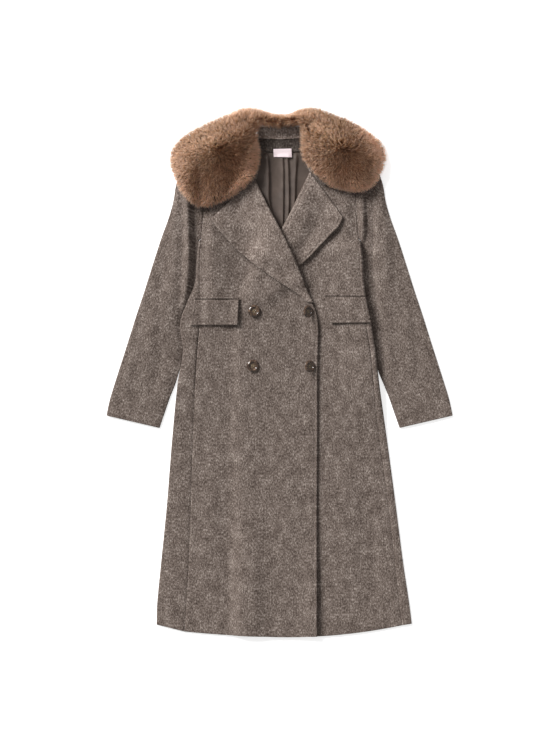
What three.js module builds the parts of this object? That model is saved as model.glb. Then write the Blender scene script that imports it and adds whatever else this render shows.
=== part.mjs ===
// A double-breasted wool coat with a large fur collar, laid flat on its back and buttoned.
// X runs across the coat, +Y towards the collar, +Z up from the surface it lies on.
// Right and left are the wearer's: the right front lies on top, on the -X side.
import * as THREE from "three";

// Driving sizes, in millimetres
const WOOL = 2.0;
const LAPEL = 3.2;
const FLAP = 3.2;
const SATIN = 0.8;
const GAP = 0.4;
const LOFT = 1.6;
const FUR_HEIGHT = 38;
const FUR_EDGE = 5;
const BUTTON_RADIUS = 13.8;
const BUTTON_HEIGHT = 4.6;
const SIDE_UNDERLAP = 30;
const ROLL_INSET = 6;
const FACING_TUCK = 14;
const HALF_WIDTH = 420;
const HALF_LENGTH = 630;

const WOOL_COLOUR = 0x776c63;
const FUR_COLOUR = 0x9a7359;
const SATIN_COLOUR = 0x6a5d53;
const LABEL_COLOUR = 0xe9d3d3;
const HORN_COLOUR = 0x6b5443;

const coat = new THREE.Group();

function point(x, y, z = 0) {
  return new THREE.Vector3(x, y, z);
}

function smoothstep(low, high, value) {
  return THREE.MathUtils.smoothstep(value, low, high);
}

// A column pair of a table as a smooth line, whose parameter runs 0 to 1 from row to row
function lineOf(table, xColumn, yColumn) {
  return new THREE.CatmullRomCurve3(table.map((row) => point(row[xColumn], row[yColumn])), false, "centripetal");
}

// One number column of a table, read at the same parameter as its lines
function numberAt(table, column, t) {
  const place = t * (table.length - 1);
  const low = Math.min(Math.floor(place), table.length - 2);
  return THREE.MathUtils.lerp(table[low][column], table[low + 1][column], place - low);
}

// What already lies on the surface, as a map of heights. A cloth laid on it bridges the steps.
const CELL = 3;
const BRIDGE_CELLS = 7;
const nx = Math.ceil((2 * HALF_WIDTH) / CELL) + 1;
const ny = Math.ceil((2 * HALF_LENGTH) / CELL) + 1;

function spread(map, cells, combine) {
  const across = new Float32Array(map.length);
  const both = new Float32Array(map.length);
  const pass = (from, to, step, count, length) => {
    for (let i = 0; i < map.length; i += 1) {
      const along = Math.floor(i / step) % length;
      const values = [];
      for (let k = -count; k <= count; k += 1) {
        if (along + k >= 0 && along + k < length) values.push(from[i + k * step]);
      }
      to[i] = combine(values);
    }
  };
  pass(map, across, 1, cells, nx);
  pass(across, both, nx, cells, ny);
  return both;
}

const highest = (values) => Math.max(...values);
const mean = (values) => values.reduce((sum, v) => sum + v, 0) / values.length;

const pile = {
  top: new Float32Array(nx * ny),
  bridged: null,
  add(geometry) {
    const position = geometry.getAttribute("position");
    const index = geometry.index;
    const corner = [point(0, 0), point(0, 0), point(0, 0)];
    for (let i = 0; i < index.count; i += 3) {
      corner.forEach((c, k) => c.fromBufferAttribute(position, index.getX(i + k)));
      raise(this.top, corner);
    }
    this.bridged = null;
  },
  at(x, y) {
    this.bridged ??= spread(spread(spread(this.top, BRIDGE_CELLS, highest), 1, mean), 1, mean);
    const gx = THREE.MathUtils.clamp((x + HALF_WIDTH) / CELL, 0, nx - 2);
    const gy = THREE.MathUtils.clamp((y + HALF_LENGTH) / CELL, 0, ny - 2);
    const i = Math.floor(gy) * nx + Math.floor(gx);
    const low = THREE.MathUtils.lerp(this.bridged[i], this.bridged[i + 1], gx % 1);
    const high = THREE.MathUtils.lerp(this.bridged[i + nx], this.bridged[i + nx + 1], gx % 1);
    return THREE.MathUtils.lerp(low, high, gy % 1);
  },
  // The highest point under a small round piece, which bridges nothing
  under(x, y, radius) {
    let height = 0;
    for (let i = 0; i < this.top.length; i += 1) {
      const dx = (i % nx) * CELL - HALF_WIDTH - x;
      const dy = Math.floor(i / nx) * CELL - HALF_LENGTH - y;
      if (Math.hypot(dx, dy) <= radius) height = Math.max(height, this.top[i]);
    }
    return height;
  },
};

function raise(map, [a, b, c]) {
  const area = (b.x - a.x) * (c.y - a.y) - (c.x - a.x) * (b.y - a.y);
  if (area < 1e-6) return;
  const column = (x) => Math.round((x + HALF_WIDTH) / CELL);
  const line = (y) => Math.round((y + HALF_LENGTH) / CELL);
  for (let j = line(Math.min(a.y, b.y, c.y)); j <= line(Math.max(a.y, b.y, c.y)); j += 1) {
    for (let i = column(Math.min(a.x, b.x, c.x)); i <= column(Math.max(a.x, b.x, c.x)); i += 1) {
      const x = i * CELL - HALF_WIDTH;
      const y = j * CELL - HALF_LENGTH;
      const wb = ((x - a.x) * (c.y - a.y) - (c.x - a.x) * (y - a.y)) / area;
      const wc = ((b.x - a.x) * (y - a.y) - (x - a.x) * (b.y - a.y)) / area;
      const wa = 1 - wb - wc;
      if (Math.min(wa, wb, wc) < -0.15) continue;
      const z = wa * a.z + wb * b.z + wc * c.z;
      map[j * nx + i] = Math.max(map[j * nx + i], Math.min(z, Math.max(a.z, b.z, c.z)));
    }
  }
}

// A closed wall on both sides of a grid of middle points. A ring's rows close on themselves.
function wall(rows, thickness, ring = false) {
  const count = rows[0].length;
  const last = rows.length - 1;
  const wrap = (j) => (ring ? (j + count) % count : THREE.MathUtils.clamp(j, 0, count - 1));
  const positions = [];
  for (const side of [1, -1]) {
    rows.forEach((row, i) => {
      row.forEach((middle, j) => {
        const along = rows[Math.min(i + 1, last)][j].clone().sub(rows[Math.max(i - 1, 0)][j]);
        const across = row[wrap(j + 1)].clone().sub(row[wrap(j - 1)]);
        const normal = across.cross(along).normalize();
        const half = (typeof thickness === "number" ? thickness : thickness(i, j)) / 2;
        positions.push(...middle.clone().addScaledVector(normal, side * half).toArray());
      });
    });
  }
  const faces = [];
  const top = (i, j) => i * count + wrap(j);
  const under = (i, j) => rows.length * count + top(i, j);
  const quad = (a, b, c, d) => faces.push(a, b, c, a, c, d);
  const spans = ring ? count : count - 1;
  for (let i = 0; i < last; i += 1) {
    for (let j = 0; j < spans; j += 1) {
      quad(top(i, j), top(i, j + 1), top(i + 1, j + 1), top(i + 1, j));
      quad(under(i, j), under(i + 1, j), under(i + 1, j + 1), under(i, j + 1));
    }
  }
  for (let j = 0; j < spans; j += 1) {
    quad(under(0, j), under(0, j + 1), top(0, j + 1), top(0, j));
    quad(top(last, j), top(last, j + 1), under(last, j + 1), under(last, j));
  }
  for (let i = 0; i < last && !ring; i += 1) {
    quad(top(i, 0), top(i + 1, 0), under(i + 1, 0), under(i, 0));
    quad(top(i + 1, count - 1), top(i, count - 1), under(i, count - 1), under(i + 1, count - 1));
  }
  return solid(positions, faces);
}

// Positions and faces as a geometry whose faces point out
function solid(positions, faces) {
  const geometry = new THREE.BufferGeometry();
  geometry.setAttribute("position", new THREE.Float32BufferAttribute(positions, 3));
  const corner = (k) => point(0, 0).fromArray(positions, 3 * faces[k]);
  let volume = 0;
  for (let k = 0; k < faces.length; k += 3) {
    volume += corner(k).dot(corner(k + 1).cross(corner(k + 2)));
  }
  if (volume < 0) faces.reverse();
  geometry.setIndex(faces);
  geometry.computeVertexNormals();
  return geometry;
}

function addPiece(name, geometry, colour, roughness = 0.95) {
  const material = new THREE.MeshStandardMaterial({ color: colour, roughness, metalness: 0 });
  const mesh = new THREE.Mesh(geometry, material);
  mesh.name = name;
  coat.add(mesh);
  return mesh;
}

// Middle points of a cloth that is laid on the pile
function laid(x, y, thickness, lift = 0) {
  return point(x, y, pile.at(x, y) + GAP + lift + thickness / 2);
}

// The coat's halves: the fold at the side, the side seam or armhole, and the front's inner edge.
// roll is 1 where the front turns back as a lapel, bow lowers the middle of the row.
const RIGHT_HALF = [
  { edgeX: -277, edgeY: -568, seamX: -214, seamY: -583, frontX: 84, frontY: -594, roll: 0, bow: 5 },
  { edgeX: -276, edgeY: -525, seamX: -211, seamY: -540, frontX: 84, frontY: -545, roll: 0, bow: 3 },
  { edgeX: -267, edgeY: -430, seamX: -205, seamY: -433, frontX: 84, frontY: -430, roll: 0, bow: 0 },
  { edgeX: -254, edgeY: -300, seamX: -200, seamY: -300, frontX: 84, frontY: -300, roll: 0, bow: 0 },
  { edgeX: -242, edgeY: -150, seamX: -195, seamY: -150, frontX: 85, frontY: -150, roll: 0, bow: 0 },
  { edgeX: -230, edgeY: -28, seamX: -190, seamY: -28, frontX: 85, frontY: -30, roll: 0, bow: 0 },
  { edgeX: -218, edgeY: 50, seamX: -185, seamY: 50, frontX: 86, frontY: 53, roll: 0, bow: 0 },
  { edgeX: -224.5, edgeY: 109, seamX: -180, seamY: 109, frontX: 87, frontY: 105, roll: 0, bow: 0 },
  { edgeX: -210.5, edgeY: 154, seamX: -180, seamY: 154, frontX: 82, frontY: 144, roll: 0.5, bow: 0 },
  { edgeX: -191.5, edgeY: 200, seamX: -180, seamY: 200, frontX: 65, frontY: 176, roll: 1, bow: 0 },
  { edgeX: -188, edgeY: 250, seamX: -180, seamY: 250, frontX: 39, frontY: 244, roll: 1, bow: 0 },
  { edgeX: -183, edgeY: 296, seamX: -177, seamY: 300, frontX: 5, frontY: 317, roll: 1, bow: 0 },
  { edgeX: 0, edgeY: 0, seamX: -171, seamY: 365, frontX: -25, frontY: 374, roll: 1, bow: 0 },
  { edgeX: 0, edgeY: 0, seamX: -170, seamY: 430, frontX: -60, frontY: 444, roll: 1, bow: 0 },
  { edgeX: 0, edgeY: 0, seamX: -172, seamY: 489, frontX: -50, frontY: 534, roll: 1, bow: 0 },
];
const LEFT_HALF = [
  { edgeX: 298, edgeY: -566, seamX: 276, seamY: -569, frontX: -82, frontY: -592, roll: 0, bow: 13 },
  { edgeX: 293, edgeY: -525, seamX: 271, seamY: -530, frontX: -82, frontY: -545, roll: 0, bow: 7 },
  { edgeX: 279, edgeY: -432, seamX: 260, seamY: -433, frontX: -82, frontY: -430, roll: 0, bow: 0 },
  { edgeX: 262, edgeY: -300, seamX: 245, seamY: -300, frontX: -82, frontY: -300, roll: 0, bow: 0 },
  { edgeX: 242, edgeY: -150, seamX: 225, seamY: -150, frontX: -82, frontY: -150, roll: 0, bow: 0 },
  { edgeX: 225, edgeY: -28, seamX: 211, seamY: -28, frontX: -82, frontY: -30, roll: 0, bow: 0 },
  { edgeX: 216, edgeY: 50, seamX: 203, seamY: 50, frontX: -82, frontY: 53, roll: 0, bow: 0 },
  { edgeX: 207, edgeY: 108, seamX: 194, seamY: 105, frontX: -82, frontY: 105, roll: 0, bow: 0 },
  { edgeX: 197, edgeY: 154, seamX: 188, seamY: 154, frontX: -77, frontY: 144, roll: 0.5, bow: 0 },
  { edgeX: 191, edgeY: 200, seamX: 183, seamY: 200, frontX: -61, frontY: 176, roll: 1, bow: 0 },
  { edgeX: 188, edgeY: 250, seamX: 181, seamY: 250, frontX: -34, frontY: 244, roll: 1, bow: 0 },
  { edgeX: 184, edgeY: 296, seamX: 178, seamY: 300, frontX: 3, frontY: 317, roll: 1, bow: 0 },
  { edgeX: 0, edgeY: 0, seamX: 172, seamY: 365, frontX: 31, frontY: 374, roll: 1, bow: 0 },
  { edgeX: 0, edgeY: 0, seamX: 171, seamY: 430, frontX: 67, frontY: 448, roll: 1, bow: 0 },
  { edgeX: 0, edgeY: 0, seamX: 172, seamY: 489, frontX: 50, frontY: 534, roll: 1, bow: 0 },
];
const UNDERARM_ROW = 11;
const HALF_ROWS = RIGHT_HALF.length - 1;
const UNDERARM = UNDERARM_ROW / HALF_ROWS;
const WAIST = 8 / HALF_ROWS;
const SIDE_ROWS = 16;

// Long soft folds of the fronts, each a low ridge: its middle, its half width and its length
const FRONT_FOLDS = [
  { x: -150, y: -330, wide: 26, long: 190, high: 1.4 },
  { x: -62, y: -420, wide: 30, long: 150, high: 1.0 },
  { x: 20, y: -300, wide: 24, long: 200, high: 0.8 },
  { x: 150, y: -380, wide: 28, long: 180, high: 1.4 },
  { x: 205, y: -470, wide: 22, long: 110, high: 1.2 },
  { x: -130, y: 330, wide: 20, long: 90, high: 1.6 },
  { x: 132, y: 300, wide: 22, long: 90, high: 1.6 },
  { x: -10, y: 60, wide: 60, long: 60, high: 0.8 },
];

function foldHeight(x, y) {
  const part = (fold) => Math.exp(-(((x - fold.x) / fold.wide) ** 2) - ((y - fold.y) / fold.long) ** 2);
  return FRONT_FOLDS.reduce((sum, fold) => sum + fold.high * part(fold), 0);
}

function frontPanel(name, half, side) {
  const SKIRT_ROWS = 13;
  const BODICE_ROWS = 17;
  const COLUMNS = 11;
  const seam = lineOf(half, "seamX", "seamY");
  const inner = lineOf(half, "frontX", "frontY");
  const rows = [];
  for (let i = 0; i <= SKIRT_ROWS + BODICE_ROWS; i += 1) {
    const bodice = (i - SKIRT_ROWS) / BODICE_ROWS;
    const t = i < SKIRT_ROWS ? (WAIST * i) / SKIRT_ROWS : THREE.MathUtils.lerp(WAIST, 1, bodice);
    const from = seam.getPoint(t);
    const to = inner.getPoint(t);
    to.x += side * ROLL_INSET * numberAt(half, "roll", t);
    const row = [];
    for (let j = 0; j <= COLUMNS; j += 1) {
      const u = j / COLUMNS;
      const place = from.clone().lerp(to, u);
      place.y -= numberAt(half, "bow", t) * 4 * u * (1 - u);
      const loft = LOFT + foldHeight(place.x, place.y) * Math.sin(Math.PI * u);
      row.push(laid(place.x, place.y, WOOL, loft));
    }
    rows.push(row);
  }
  const mesh = addPiece(name, wall(rows, WOOL), WOOL_COLOUR);
  pile.add(mesh.geometry);
}

// The back lies flat on the surface, from hem to shoulders
function backPanel() {
  const ARMHOLE_ROWS = 7;
  const COLUMNS = 6;
  const HEM_BOW = 20;
  const SHOULDER_RISE = 41;
  const edgeOf = (half, side) => {
    const fold = lineOf(half.slice(0, UNDERARM_ROW + 1), "edgeX", "edgeY");
    const seam = lineOf(half, "seamX", "seamY");
    return (i) => {
      if (i <= SIDE_ROWS) return fold.getPoint(i / SIDE_ROWS).add(point(-side * SIDE_UNDERLAP, 0));
      const up = THREE.MathUtils.lerp(0.06, 1, (i - SIDE_ROWS - 1) / (ARMHOLE_ROWS - 1));
      return seam.getPoint(THREE.MathUtils.lerp(UNDERARM, 1, up));
    };
  };
  const right = edgeOf(RIGHT_HALF, -1);
  const left = edgeOf(LEFT_HALF, 1);
  const rows = [];
  for (let i = 0; i <= SIDE_ROWS + ARMHOLE_ROWS; i += 1) {
    const t = i / (SIDE_ROWS + ARMHOLE_ROWS);
    const row = [];
    for (let j = 0; j <= COLUMNS; j += 1) {
      const u = j / COLUMNS;
      const place = right(i).lerp(left(i), u);
      place.y -= HEM_BOW * (1 - smoothstep(0, 0.15, t)) * 4 * u * (1 - u);
      place.y += SHOULDER_RISE * smoothstep(0.9, 1, t) * Math.min(1, (1 - Math.abs(2 * u - 1)) / 0.7);
      row.push(point(place.x, place.y, WOOL / 2));
    }
    rows.push(row);
  }
  const mesh = addPiece("back", wall(rows, WOOL), WOOL_COLOUR);
  pile.add(mesh.geometry);
}

// A side panel: from the front seam round the fold to the back seam
function sidePanel(name, half, side) {
  const seam = lineOf(half, "seamX", "seamY");
  const fold = lineOf(half.slice(0, UNDERARM_ROW + 1), "edgeX", "edgeY");
  const topZ = WOOL + GAP + LOFT + WOOL / 2;
  const radius = (topZ - WOOL / 2) / 2;
  const reach = radius + WOOL / 2;
  const rows = [];
  for (let i = 0; i <= SIDE_ROWS; i += 1) {
    const seamPoint = seam.getPoint((UNDERARM * i) / SIDE_ROWS);
    const foldPoint = fold.getPoint(i / SIDE_ROWS);
    const row = [];
    for (const x of [SIDE_UNDERLAP - 2 * GAP, SIDE_UNDERLAP * 0.55, reach]) {
      row.push(point(foldPoint.x - side * x, foldPoint.y, WOOL / 2));
    }
    for (const turn of [0.25, 0.5, 0.75]) {
      const x = foldPoint.x - side * (reach - radius * Math.sin(Math.PI * turn));
      row.push(point(x, foldPoint.y, WOOL / 2 + radius * (1 - Math.cos(Math.PI * turn))));
    }
    const start = point(foldPoint.x - side * reach, foldPoint.y, topZ);
    const end = point(seamPoint.x + side * 2 * GAP, seamPoint.y, topZ);
    for (const u of [0, 0.5, 1]) {
      row.push(start.clone().lerp(end, u));
    }
    rows.push(row);
  }
  const mesh = addPiece(name, wall(rows, WOOL), WOOL_COLOUR);
  return mesh.geometry;
}

// The satin lining, only where the open neck shows it, with its folds
const LINING_ROWS = [
  { y: 494, rightX: -66, leftX: 66 },
  { y: 460, rightX: -62, leftX: 82 },
  { y: 425, rightX: -66, leftX: 70 },
  { y: 385, rightX: -46, leftX: 52 },
  { y: 345, rightX: -26, leftX: 32 },
  { y: 310, rightX: -12, leftX: 18 },
];
const LINING_FOLDS = [
  { topX: -38, footX: -4, high: 2.0, wide: 7 },
  { topX: -10, footX: 3, high: 2.6, wide: 8 },
  { topX: 14, footX: 7, high: 2.4, wide: 5 },
  { topX: 31, footX: 10, high: 2.6, wide: 6 },
  { topX: 48, footX: 14, high: 1.6, wide: 6 },
];

function liningPanel() {
  const ROWS = 8;
  const COLUMNS = 24;
  const rows = [];
  for (let i = 0; i <= ROWS; i += 1) {
    const t = i / ROWS;
    const y = numberAt(LINING_ROWS, "y", t);
    const rightX = numberAt(LINING_ROWS, "rightX", t);
    const leftX = numberAt(LINING_ROWS, "leftX", t);
    const row = [];
    for (let j = 0; j <= COLUMNS; j += 1) {
      const u = j / COLUMNS;
      const x = THREE.MathUtils.lerp(rightX, leftX, u);
      const part = (f) => f.high * Math.exp(-(((x - THREE.MathUtils.lerp(f.topX, f.footX, t)) / f.wide) ** 2));
      const folds = LINING_FOLDS.reduce((sum, fold) => sum + part(fold), 0);
      const fade = smoothstep(0, 0.2, Math.min(u, 1 - u)) * smoothstep(0, 0.15, t) * (1 - smoothstep(0.8, 1, t));
      row.push(laid(x, y, SATIN, folds * fade));
    }
    rows.push(row);
  }
  const mesh = addPiece("lining", wall(rows, SATIN), SATIN_COLOUR, 0.35);
  pile.add(mesh.geometry);
}

// The wool facing inside the back of the neck, with its two arms
const NECK_FACING = [
  { innerX: -58, innerY: 462, outerX: -84, outerY: 470 },
  { innerX: -56, innerY: 490, outerX: -82, outerY: 502 },
  { innerX: -44, innerY: 497, outerX: -60, outerY: 524 },
  { innerX: -20, innerY: 496.5, outerX: -22, outerY: 526 },
  { innerX: 0, innerY: 496, outerX: 0, outerY: 526 },
  { innerX: 20, innerY: 496.5, outerX: 22, outerY: 526 },
  { innerX: 44, innerY: 497, outerX: 60, outerY: 524 },
  { innerX: 70, innerY: 490, outerX: 90, outerY: 502 },
  { innerX: 86, innerY: 462, outerX: 106, outerY: 470 },
];

function neckFacing() {
  const ROWS = 16;
  const COLUMNS = 2;
  const inner = lineOf(NECK_FACING, "innerX", "innerY");
  const outer = lineOf(NECK_FACING, "outerX", "outerY");
  const rows = [];
  for (let i = 0; i <= ROWS; i += 1) {
    const from = inner.getPoint(i / ROWS);
    const to = outer.getPoint(i / ROWS);
    const row = [];
    for (let j = 0; j <= COLUMNS; j += 1) {
      const place = from.clone().lerp(to, j / COLUMNS);
      row.push(laid(place.x, place.y, WOOL));
    }
    rows.push(row);
  }
  const mesh = addPiece("neck_facing", wall(rows, WOOL), WOOL_COLOUR);
  pile.add(mesh.geometry);
}

// The blank woven label at the back of the neck, its corner a little lifted
function neckLabel() {
  const corners = [point(-14, 503), point(27, 504), point(28, 484), point(-13, 485)];
  const rows = [];
  for (let i = 0; i <= 3; i += 1) {
    const row = [];
    for (let j = 0; j <= 6; j += 1) {
      const high = corners[0].clone().lerp(corners[1], j / 6);
      const low = corners[3].clone().lerp(corners[2], j / 6);
      const place = high.lerp(low, i / 3);
      row.push(laid(place.x, place.y, SATIN, 0.8 * (i / 3) * (j / 6)));
    }
    rows.push(row);
  }
  const mesh = addPiece("neck_label", wall(rows, SATIN), LABEL_COLOUR, 0.6);
  pile.add(mesh.geometry);
}

// A facing turns round the roll line and lies on the front as the lapel.
// roll is a point of the roll line, edge the lapel's free edge on the same row.
const RIGHT_LAPEL = [
  { rollX: -58, rollY: 440, edgeX: -154, edgeY: 345 },
  { rollX: -40, rollY: 404, edgeX: -140, edgeY: 325 },
  { rollX: -18, rollY: 360, edgeX: -117, edgeY: 299 },
  { rollX: 5, rollY: 317, edgeX: -93, edgeY: 273 },
  { rollX: 23, rollY: 280, edgeX: -72, edgeY: 256 },
  { rollX: 39, rollY: 244, edgeX: -50, edgeY: 238 },
  { rollX: 53, rollY: 210, edgeX: -5, edgeY: 206 },
  { rollX: 65, rollY: 180, edgeX: 40, edgeY: 177 },
  { rollX: 76, rollY: 157, edgeX: 62, edgeY: 159 },
];
const LEFT_LAPEL = [
  { rollX: 68, rollY: 451, edgeX: 143, edgeY: 349 },
  { rollX: 52, rollY: 418, edgeX: 133, edgeY: 329 },
  { rollX: 36, rollY: 385, edgeX: 113, edgeY: 308 },
  { rollX: 20, rollY: 352, edgeX: 92, edgeY: 286 },
  { rollX: 3, rollY: 320, edgeX: 71, edgeY: 263 },
  { rollX: -14, rollY: 284, edgeX: 45, edgeY: 240 },
  { rollX: -32, rollY: 248, edgeX: 16, edgeY: 217 },
  { rollX: -48, rollY: 211, edgeX: -16, edgeY: 192 },
  { rollX: -62, rollY: 178, edgeX: -44, edgeY: 170 },
];
const LAPEL_ROWS = 13;

function lapelRow(table, t) {
  const roll = lineOf(table, "rollX", "rollY").getPoint(t);
  const edge = lineOf(table, "edgeX", "edgeY").getPoint(t);
  const width = roll.distanceTo(edge);
  return { roll, edge, width, inward: edge.clone().sub(roll).divideScalar(width) };
}

// The part of a facing that is tucked under the front is laid before the front is
function facingTuck(table) {
  const rows = [];
  for (let i = 0; i <= LAPEL_ROWS; i += 1) {
    const { roll, inward, width } = lapelRow(table, i / LAPEL_ROWS);
    const tuck = Math.min(FACING_TUCK, width);
    rows.push([1, 0.6, 0.25].map((u) => {
      const place = roll.clone().addScaledVector(inward, tuck * u);
      return laid(place.x, place.y, WOOL);
    }));
  }
  pile.add(wall(rows, WOOL));
  return rows;
}

function facing(name, table, tuckRows) {
  const COLUMNS = 6;
  const rows = [];
  for (let i = 0; i <= LAPEL_ROWS; i += 1) {
    const { roll, edge, inward, width } = lapelRow(table, i / LAPEL_ROWS);
    const row = tuckRows[i].map((p) => p.clone());
    const turnStart = row[row.length - 1];
    const reach = Math.min(FACING_TUCK, width) * 0.25;
    const start = roll.clone().addScaledVector(inward, reach);
    start.copy(laid(start.x, start.y, LAPEL));
    const middleZ = (turnStart.z + start.z) / 2;
    const radiusZ = (start.z - turnStart.z) / 2;
    for (const turn of [0.2, 0.4, 0.6, 0.8]) {
      const out = reach - (reach - WOOL / 2) * Math.sin(Math.PI * turn);
      const place = roll.clone().addScaledVector(inward, out);
      row.push(point(place.x, place.y, middleZ - radiusZ * Math.cos(Math.PI * turn)));
    }
    row.push(start);
    for (let j = 1; j <= COLUMNS; j += 1) {
      const place = start.clone().lerp(edge, j / COLUMNS);
      row.push(laid(place.x, place.y, LAPEL));
    }
    rows.push(row);
  }
  const TUCK_AND_TURN = 6;
  const thickness = (i, j) => (j > TUCK_AND_TURN ? LAPEL : WOOL);
  const mesh = addPiece(name, wall(rows, thickness), WOOL_COLOUR);
  pile.add(mesh.geometry);
}

// A pocket flap, two cloths thick, from its four corners: top outer, top inner, bottom inner, bottom outer
const RIGHT_FLAP = [point(-191, 169), point(-91, 169), point(-94, 107), point(-201, 106)];
const LEFT_FLAP = [point(192, 175), point(101, 176), point(114, 111), point(206, 112)];

function pocketFlap(name, [outerTop, innerTop, innerLow, outerLow]) {
  const rows = [];
  for (let i = 0; i <= 4; i += 1) {
    const row = [];
    for (let j = 0; j <= 7; j += 1) {
      const high = outerTop.clone().lerp(innerTop, j / 7);
      const low = outerLow.clone().lerp(innerLow, j / 7);
      const place = high.lerp(low, i / 4);
      row.push(laid(place.x, place.y, FLAP, 0.4 * (i / 4)));
    }
    rows.push(row);
  }
  return addPiece(name, wall(rows, FLAP), WOOL_COLOUR).geometry;
}

// A sleeve lies as a flattened tube. inner is its edge at the body, outer its far edge.
// These rows are for the wearer's right sleeve, and the left one is its mirror image.
// From the underarm down to SWINGS_CLEAR the inner edge lies close along the side's fold instead.
const SWINGS_CLEAR = -30;
const BESIDE_GAP = 1.6;
const BESIDE_FADE = 40;
const UNDERARM_FADE = 26;
const SLEEVE_ROWS = [
  { innerX: -188, innerY: 296, outerX: -192, outerY: 485, full: 0.2 },
  { innerX: -190, innerY: 270, outerX: -213, outerY: 468, full: 0.5 },
  { innerX: -192.5, innerY: 242, outerX: -231, outerY: 428, full: 0.8 },
  { innerX: -195, innerY: 214, outerX: -239, outerY: 384, full: 1 },
  { innerX: -201, innerY: 190, outerX: -250, outerY: 346, full: 1 },
  { innerX: -209, innerY: 163, outerX: -265, outerY: 305, full: 1 },
  { innerX: -218, innerY: 134, outerX: -284, outerY: 247, full: 1 },
  { innerX: -226, innerY: 102, outerX: -303, outerY: 187, full: 1 },
  { innerX: -230, innerY: 60, outerX: -322, outerY: 130, full: 1 },
  { innerX: -231, innerY: 15, outerX: -340, outerY: 73, full: 0.9 },
  { innerX: -233, innerY: -20, outerX: -356, outerY: 23, full: 0.8 },
  { innerX: -246, innerY: -55, outerX: -371, outerY: -24, full: 0.7 },
  { innerX: -258, innerY: -90, outerX: -382, outerY: -60, full: 0.6 },
  { innerX: -270, innerY: -125, outerX: -390, outerY: -97, full: 0.4 },
];

// Where the fold at a side lies, at a height up the coat, on the side panel's own rows
function foldX(half, y) {
  const line = lineOf(half.slice(0, UNDERARM_ROW + 1), "edgeX", "edgeY").getPoints(SIDE_ROWS);
  const above = THREE.MathUtils.clamp(line.findIndex((p) => p.y >= y), 1, line.length - 1);
  const part = (y - line[above - 1].y) / (line[above].y - line[above - 1].y);
  return THREE.MathUtils.lerp(line[above - 1].x, line[above].x, part);
}

function sleeve(name, half, side) {
  const ROWS = 22;
  const LEG = 6;
  const lowZ = WOOL / 2;
  const rise = WOOL + GAP + LOFT;
  const radius = rise / 2;
  const reach = radius + WOOL / 2;
  const inner = lineOf(SLEEVE_ROWS, "innerX", "innerY");
  const outer = lineOf(SLEEVE_ROWS, "outerX", "outerY");
  const armhole = lineOf(half, "seamX", "seamY");
  const rows = [];
  for (let i = -1; i <= ROWS; i += 1) {
    const t = Math.max(i, 0) / ROWS;
    const from = inner.getPoint(t);
    const to = outer.getPoint(t);
    const underarmY = half[UNDERARM_ROW].edgeY;
    const beside = smoothstep(SWINGS_CLEAR, SWINGS_CLEAR + BESIDE_FADE, from.y)
      * (1 - smoothstep(underarmY - UNDERARM_FADE, underarmY, from.y));
    from.x = THREE.MathUtils.lerp(from.x, -side * foldX(half, from.y) - BESIDE_GAP, beside);
    const full = i < 0 ? 0 : numberAt(SLEEVE_ROWS, "full", t);
    const length = i < 0 ? 188 : from.distanceTo(to);
    const place = (u) => {
      if (i >= 0) return point(-side * THREE.MathUtils.lerp(from.x, to.x, u), THREE.MathUtils.lerp(from.y, to.y, u));
      const onSeam = armhole.getPoint(THREE.MathUtils.lerp(UNDERARM, 1, u));
      return point(onSeam.x + side * 2 * GAP, onSeam.y + 4 * (1 - u));
    };
    const row = [];
    const inset = reach / length;
    for (let j = 0; j <= LEG; j += 1) {
      const p = place(THREE.MathUtils.lerp(inset, 1 - inset, j / LEG));
      row.push(point(p.x, p.y, lowZ));
    }
    for (const turn of [0.25, 0.5, 0.75]) {
      const p = place(1 - inset + (radius / length) * Math.sin(Math.PI * turn));
      row.push(point(p.x, p.y, lowZ + radius * (1 - Math.cos(Math.PI * turn))));
    }
    for (let j = LEG; j >= 0; j -= 1) {
      const u = j / LEG;
      const p = place(THREE.MathUtils.lerp(inset, 1 - inset, u));
      const bulge = full * (0.9 * Math.sin(Math.PI * u) + 0.7 * Math.exp(-(((u - 0.28) / 0.13) ** 2)));
      row.push(point(p.x, p.y, lowZ + rise + bulge));
    }
    for (const turn of [0.75, 0.5, 0.25]) {
      const p = place(inset - (radius / length) * Math.sin(Math.PI * turn));
      row.push(point(p.x, p.y, lowZ + radius * (1 - Math.cos(Math.PI * turn))));
    }
    rows.push(row);
  }
  return addPiece(name, wall(rows, WOOL, true), WOOL_COLOUR).geometry;
}

// A rimmed button, turned, sits on its thread shank and leans a little
const BUTTONS = [
  { name: "button_upper_right", x: -57, y: 138, lean: 8 },
  { name: "button_upper_left", x: 63, y: 137, lean: 38 },
  { name: "button_lower_right", x: -60, y: 15, lean: 8 },
  { name: "button_lower_left", x: 67, y: 14, lean: 34 },
];
const BUTTON_PROFILE = [
  { radius: 0, height: -0.45 },
  { radius: 0.17, height: -0.45 },
  { radius: 0.17, height: 0 },
  { radius: 0.72, height: 0 },
  { radius: 0.97, height: 0.4 },
  { radius: 1, height: 0.7 },
  { radius: 0.93, height: 1 },
  { radius: 0.8, height: 0.95 },
  { radius: 0.66, height: 0.62 },
  { radius: 0, height: 0.55 },
];

function button({ name, x, y, lean }) {
  const profile = BUTTON_PROFILE.map((p) => new THREE.Vector2(p.radius * BUTTON_RADIUS, p.height * BUTTON_HEIGHT));
  const geometry = new THREE.LatheGeometry(profile, 16);
  geometry.rotateX(Math.PI / 2);
  geometry.rotateY(THREE.MathUtils.degToRad(lean));
  const vertices = geometry.getAttribute("position");
  let seat = 0;
  for (let k = 0; k < vertices.count; k += 1) {
    const height = pile.under(x + vertices.getX(k), y + vertices.getY(k), 0.75 * CELL);
    seat = Math.max(seat, height - vertices.getZ(k));
  }
  const mesh = addPiece(name, geometry, HORN_COLOUR, 0.25);
  mesh.position.set(x, y, seat + GAP);
}

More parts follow.
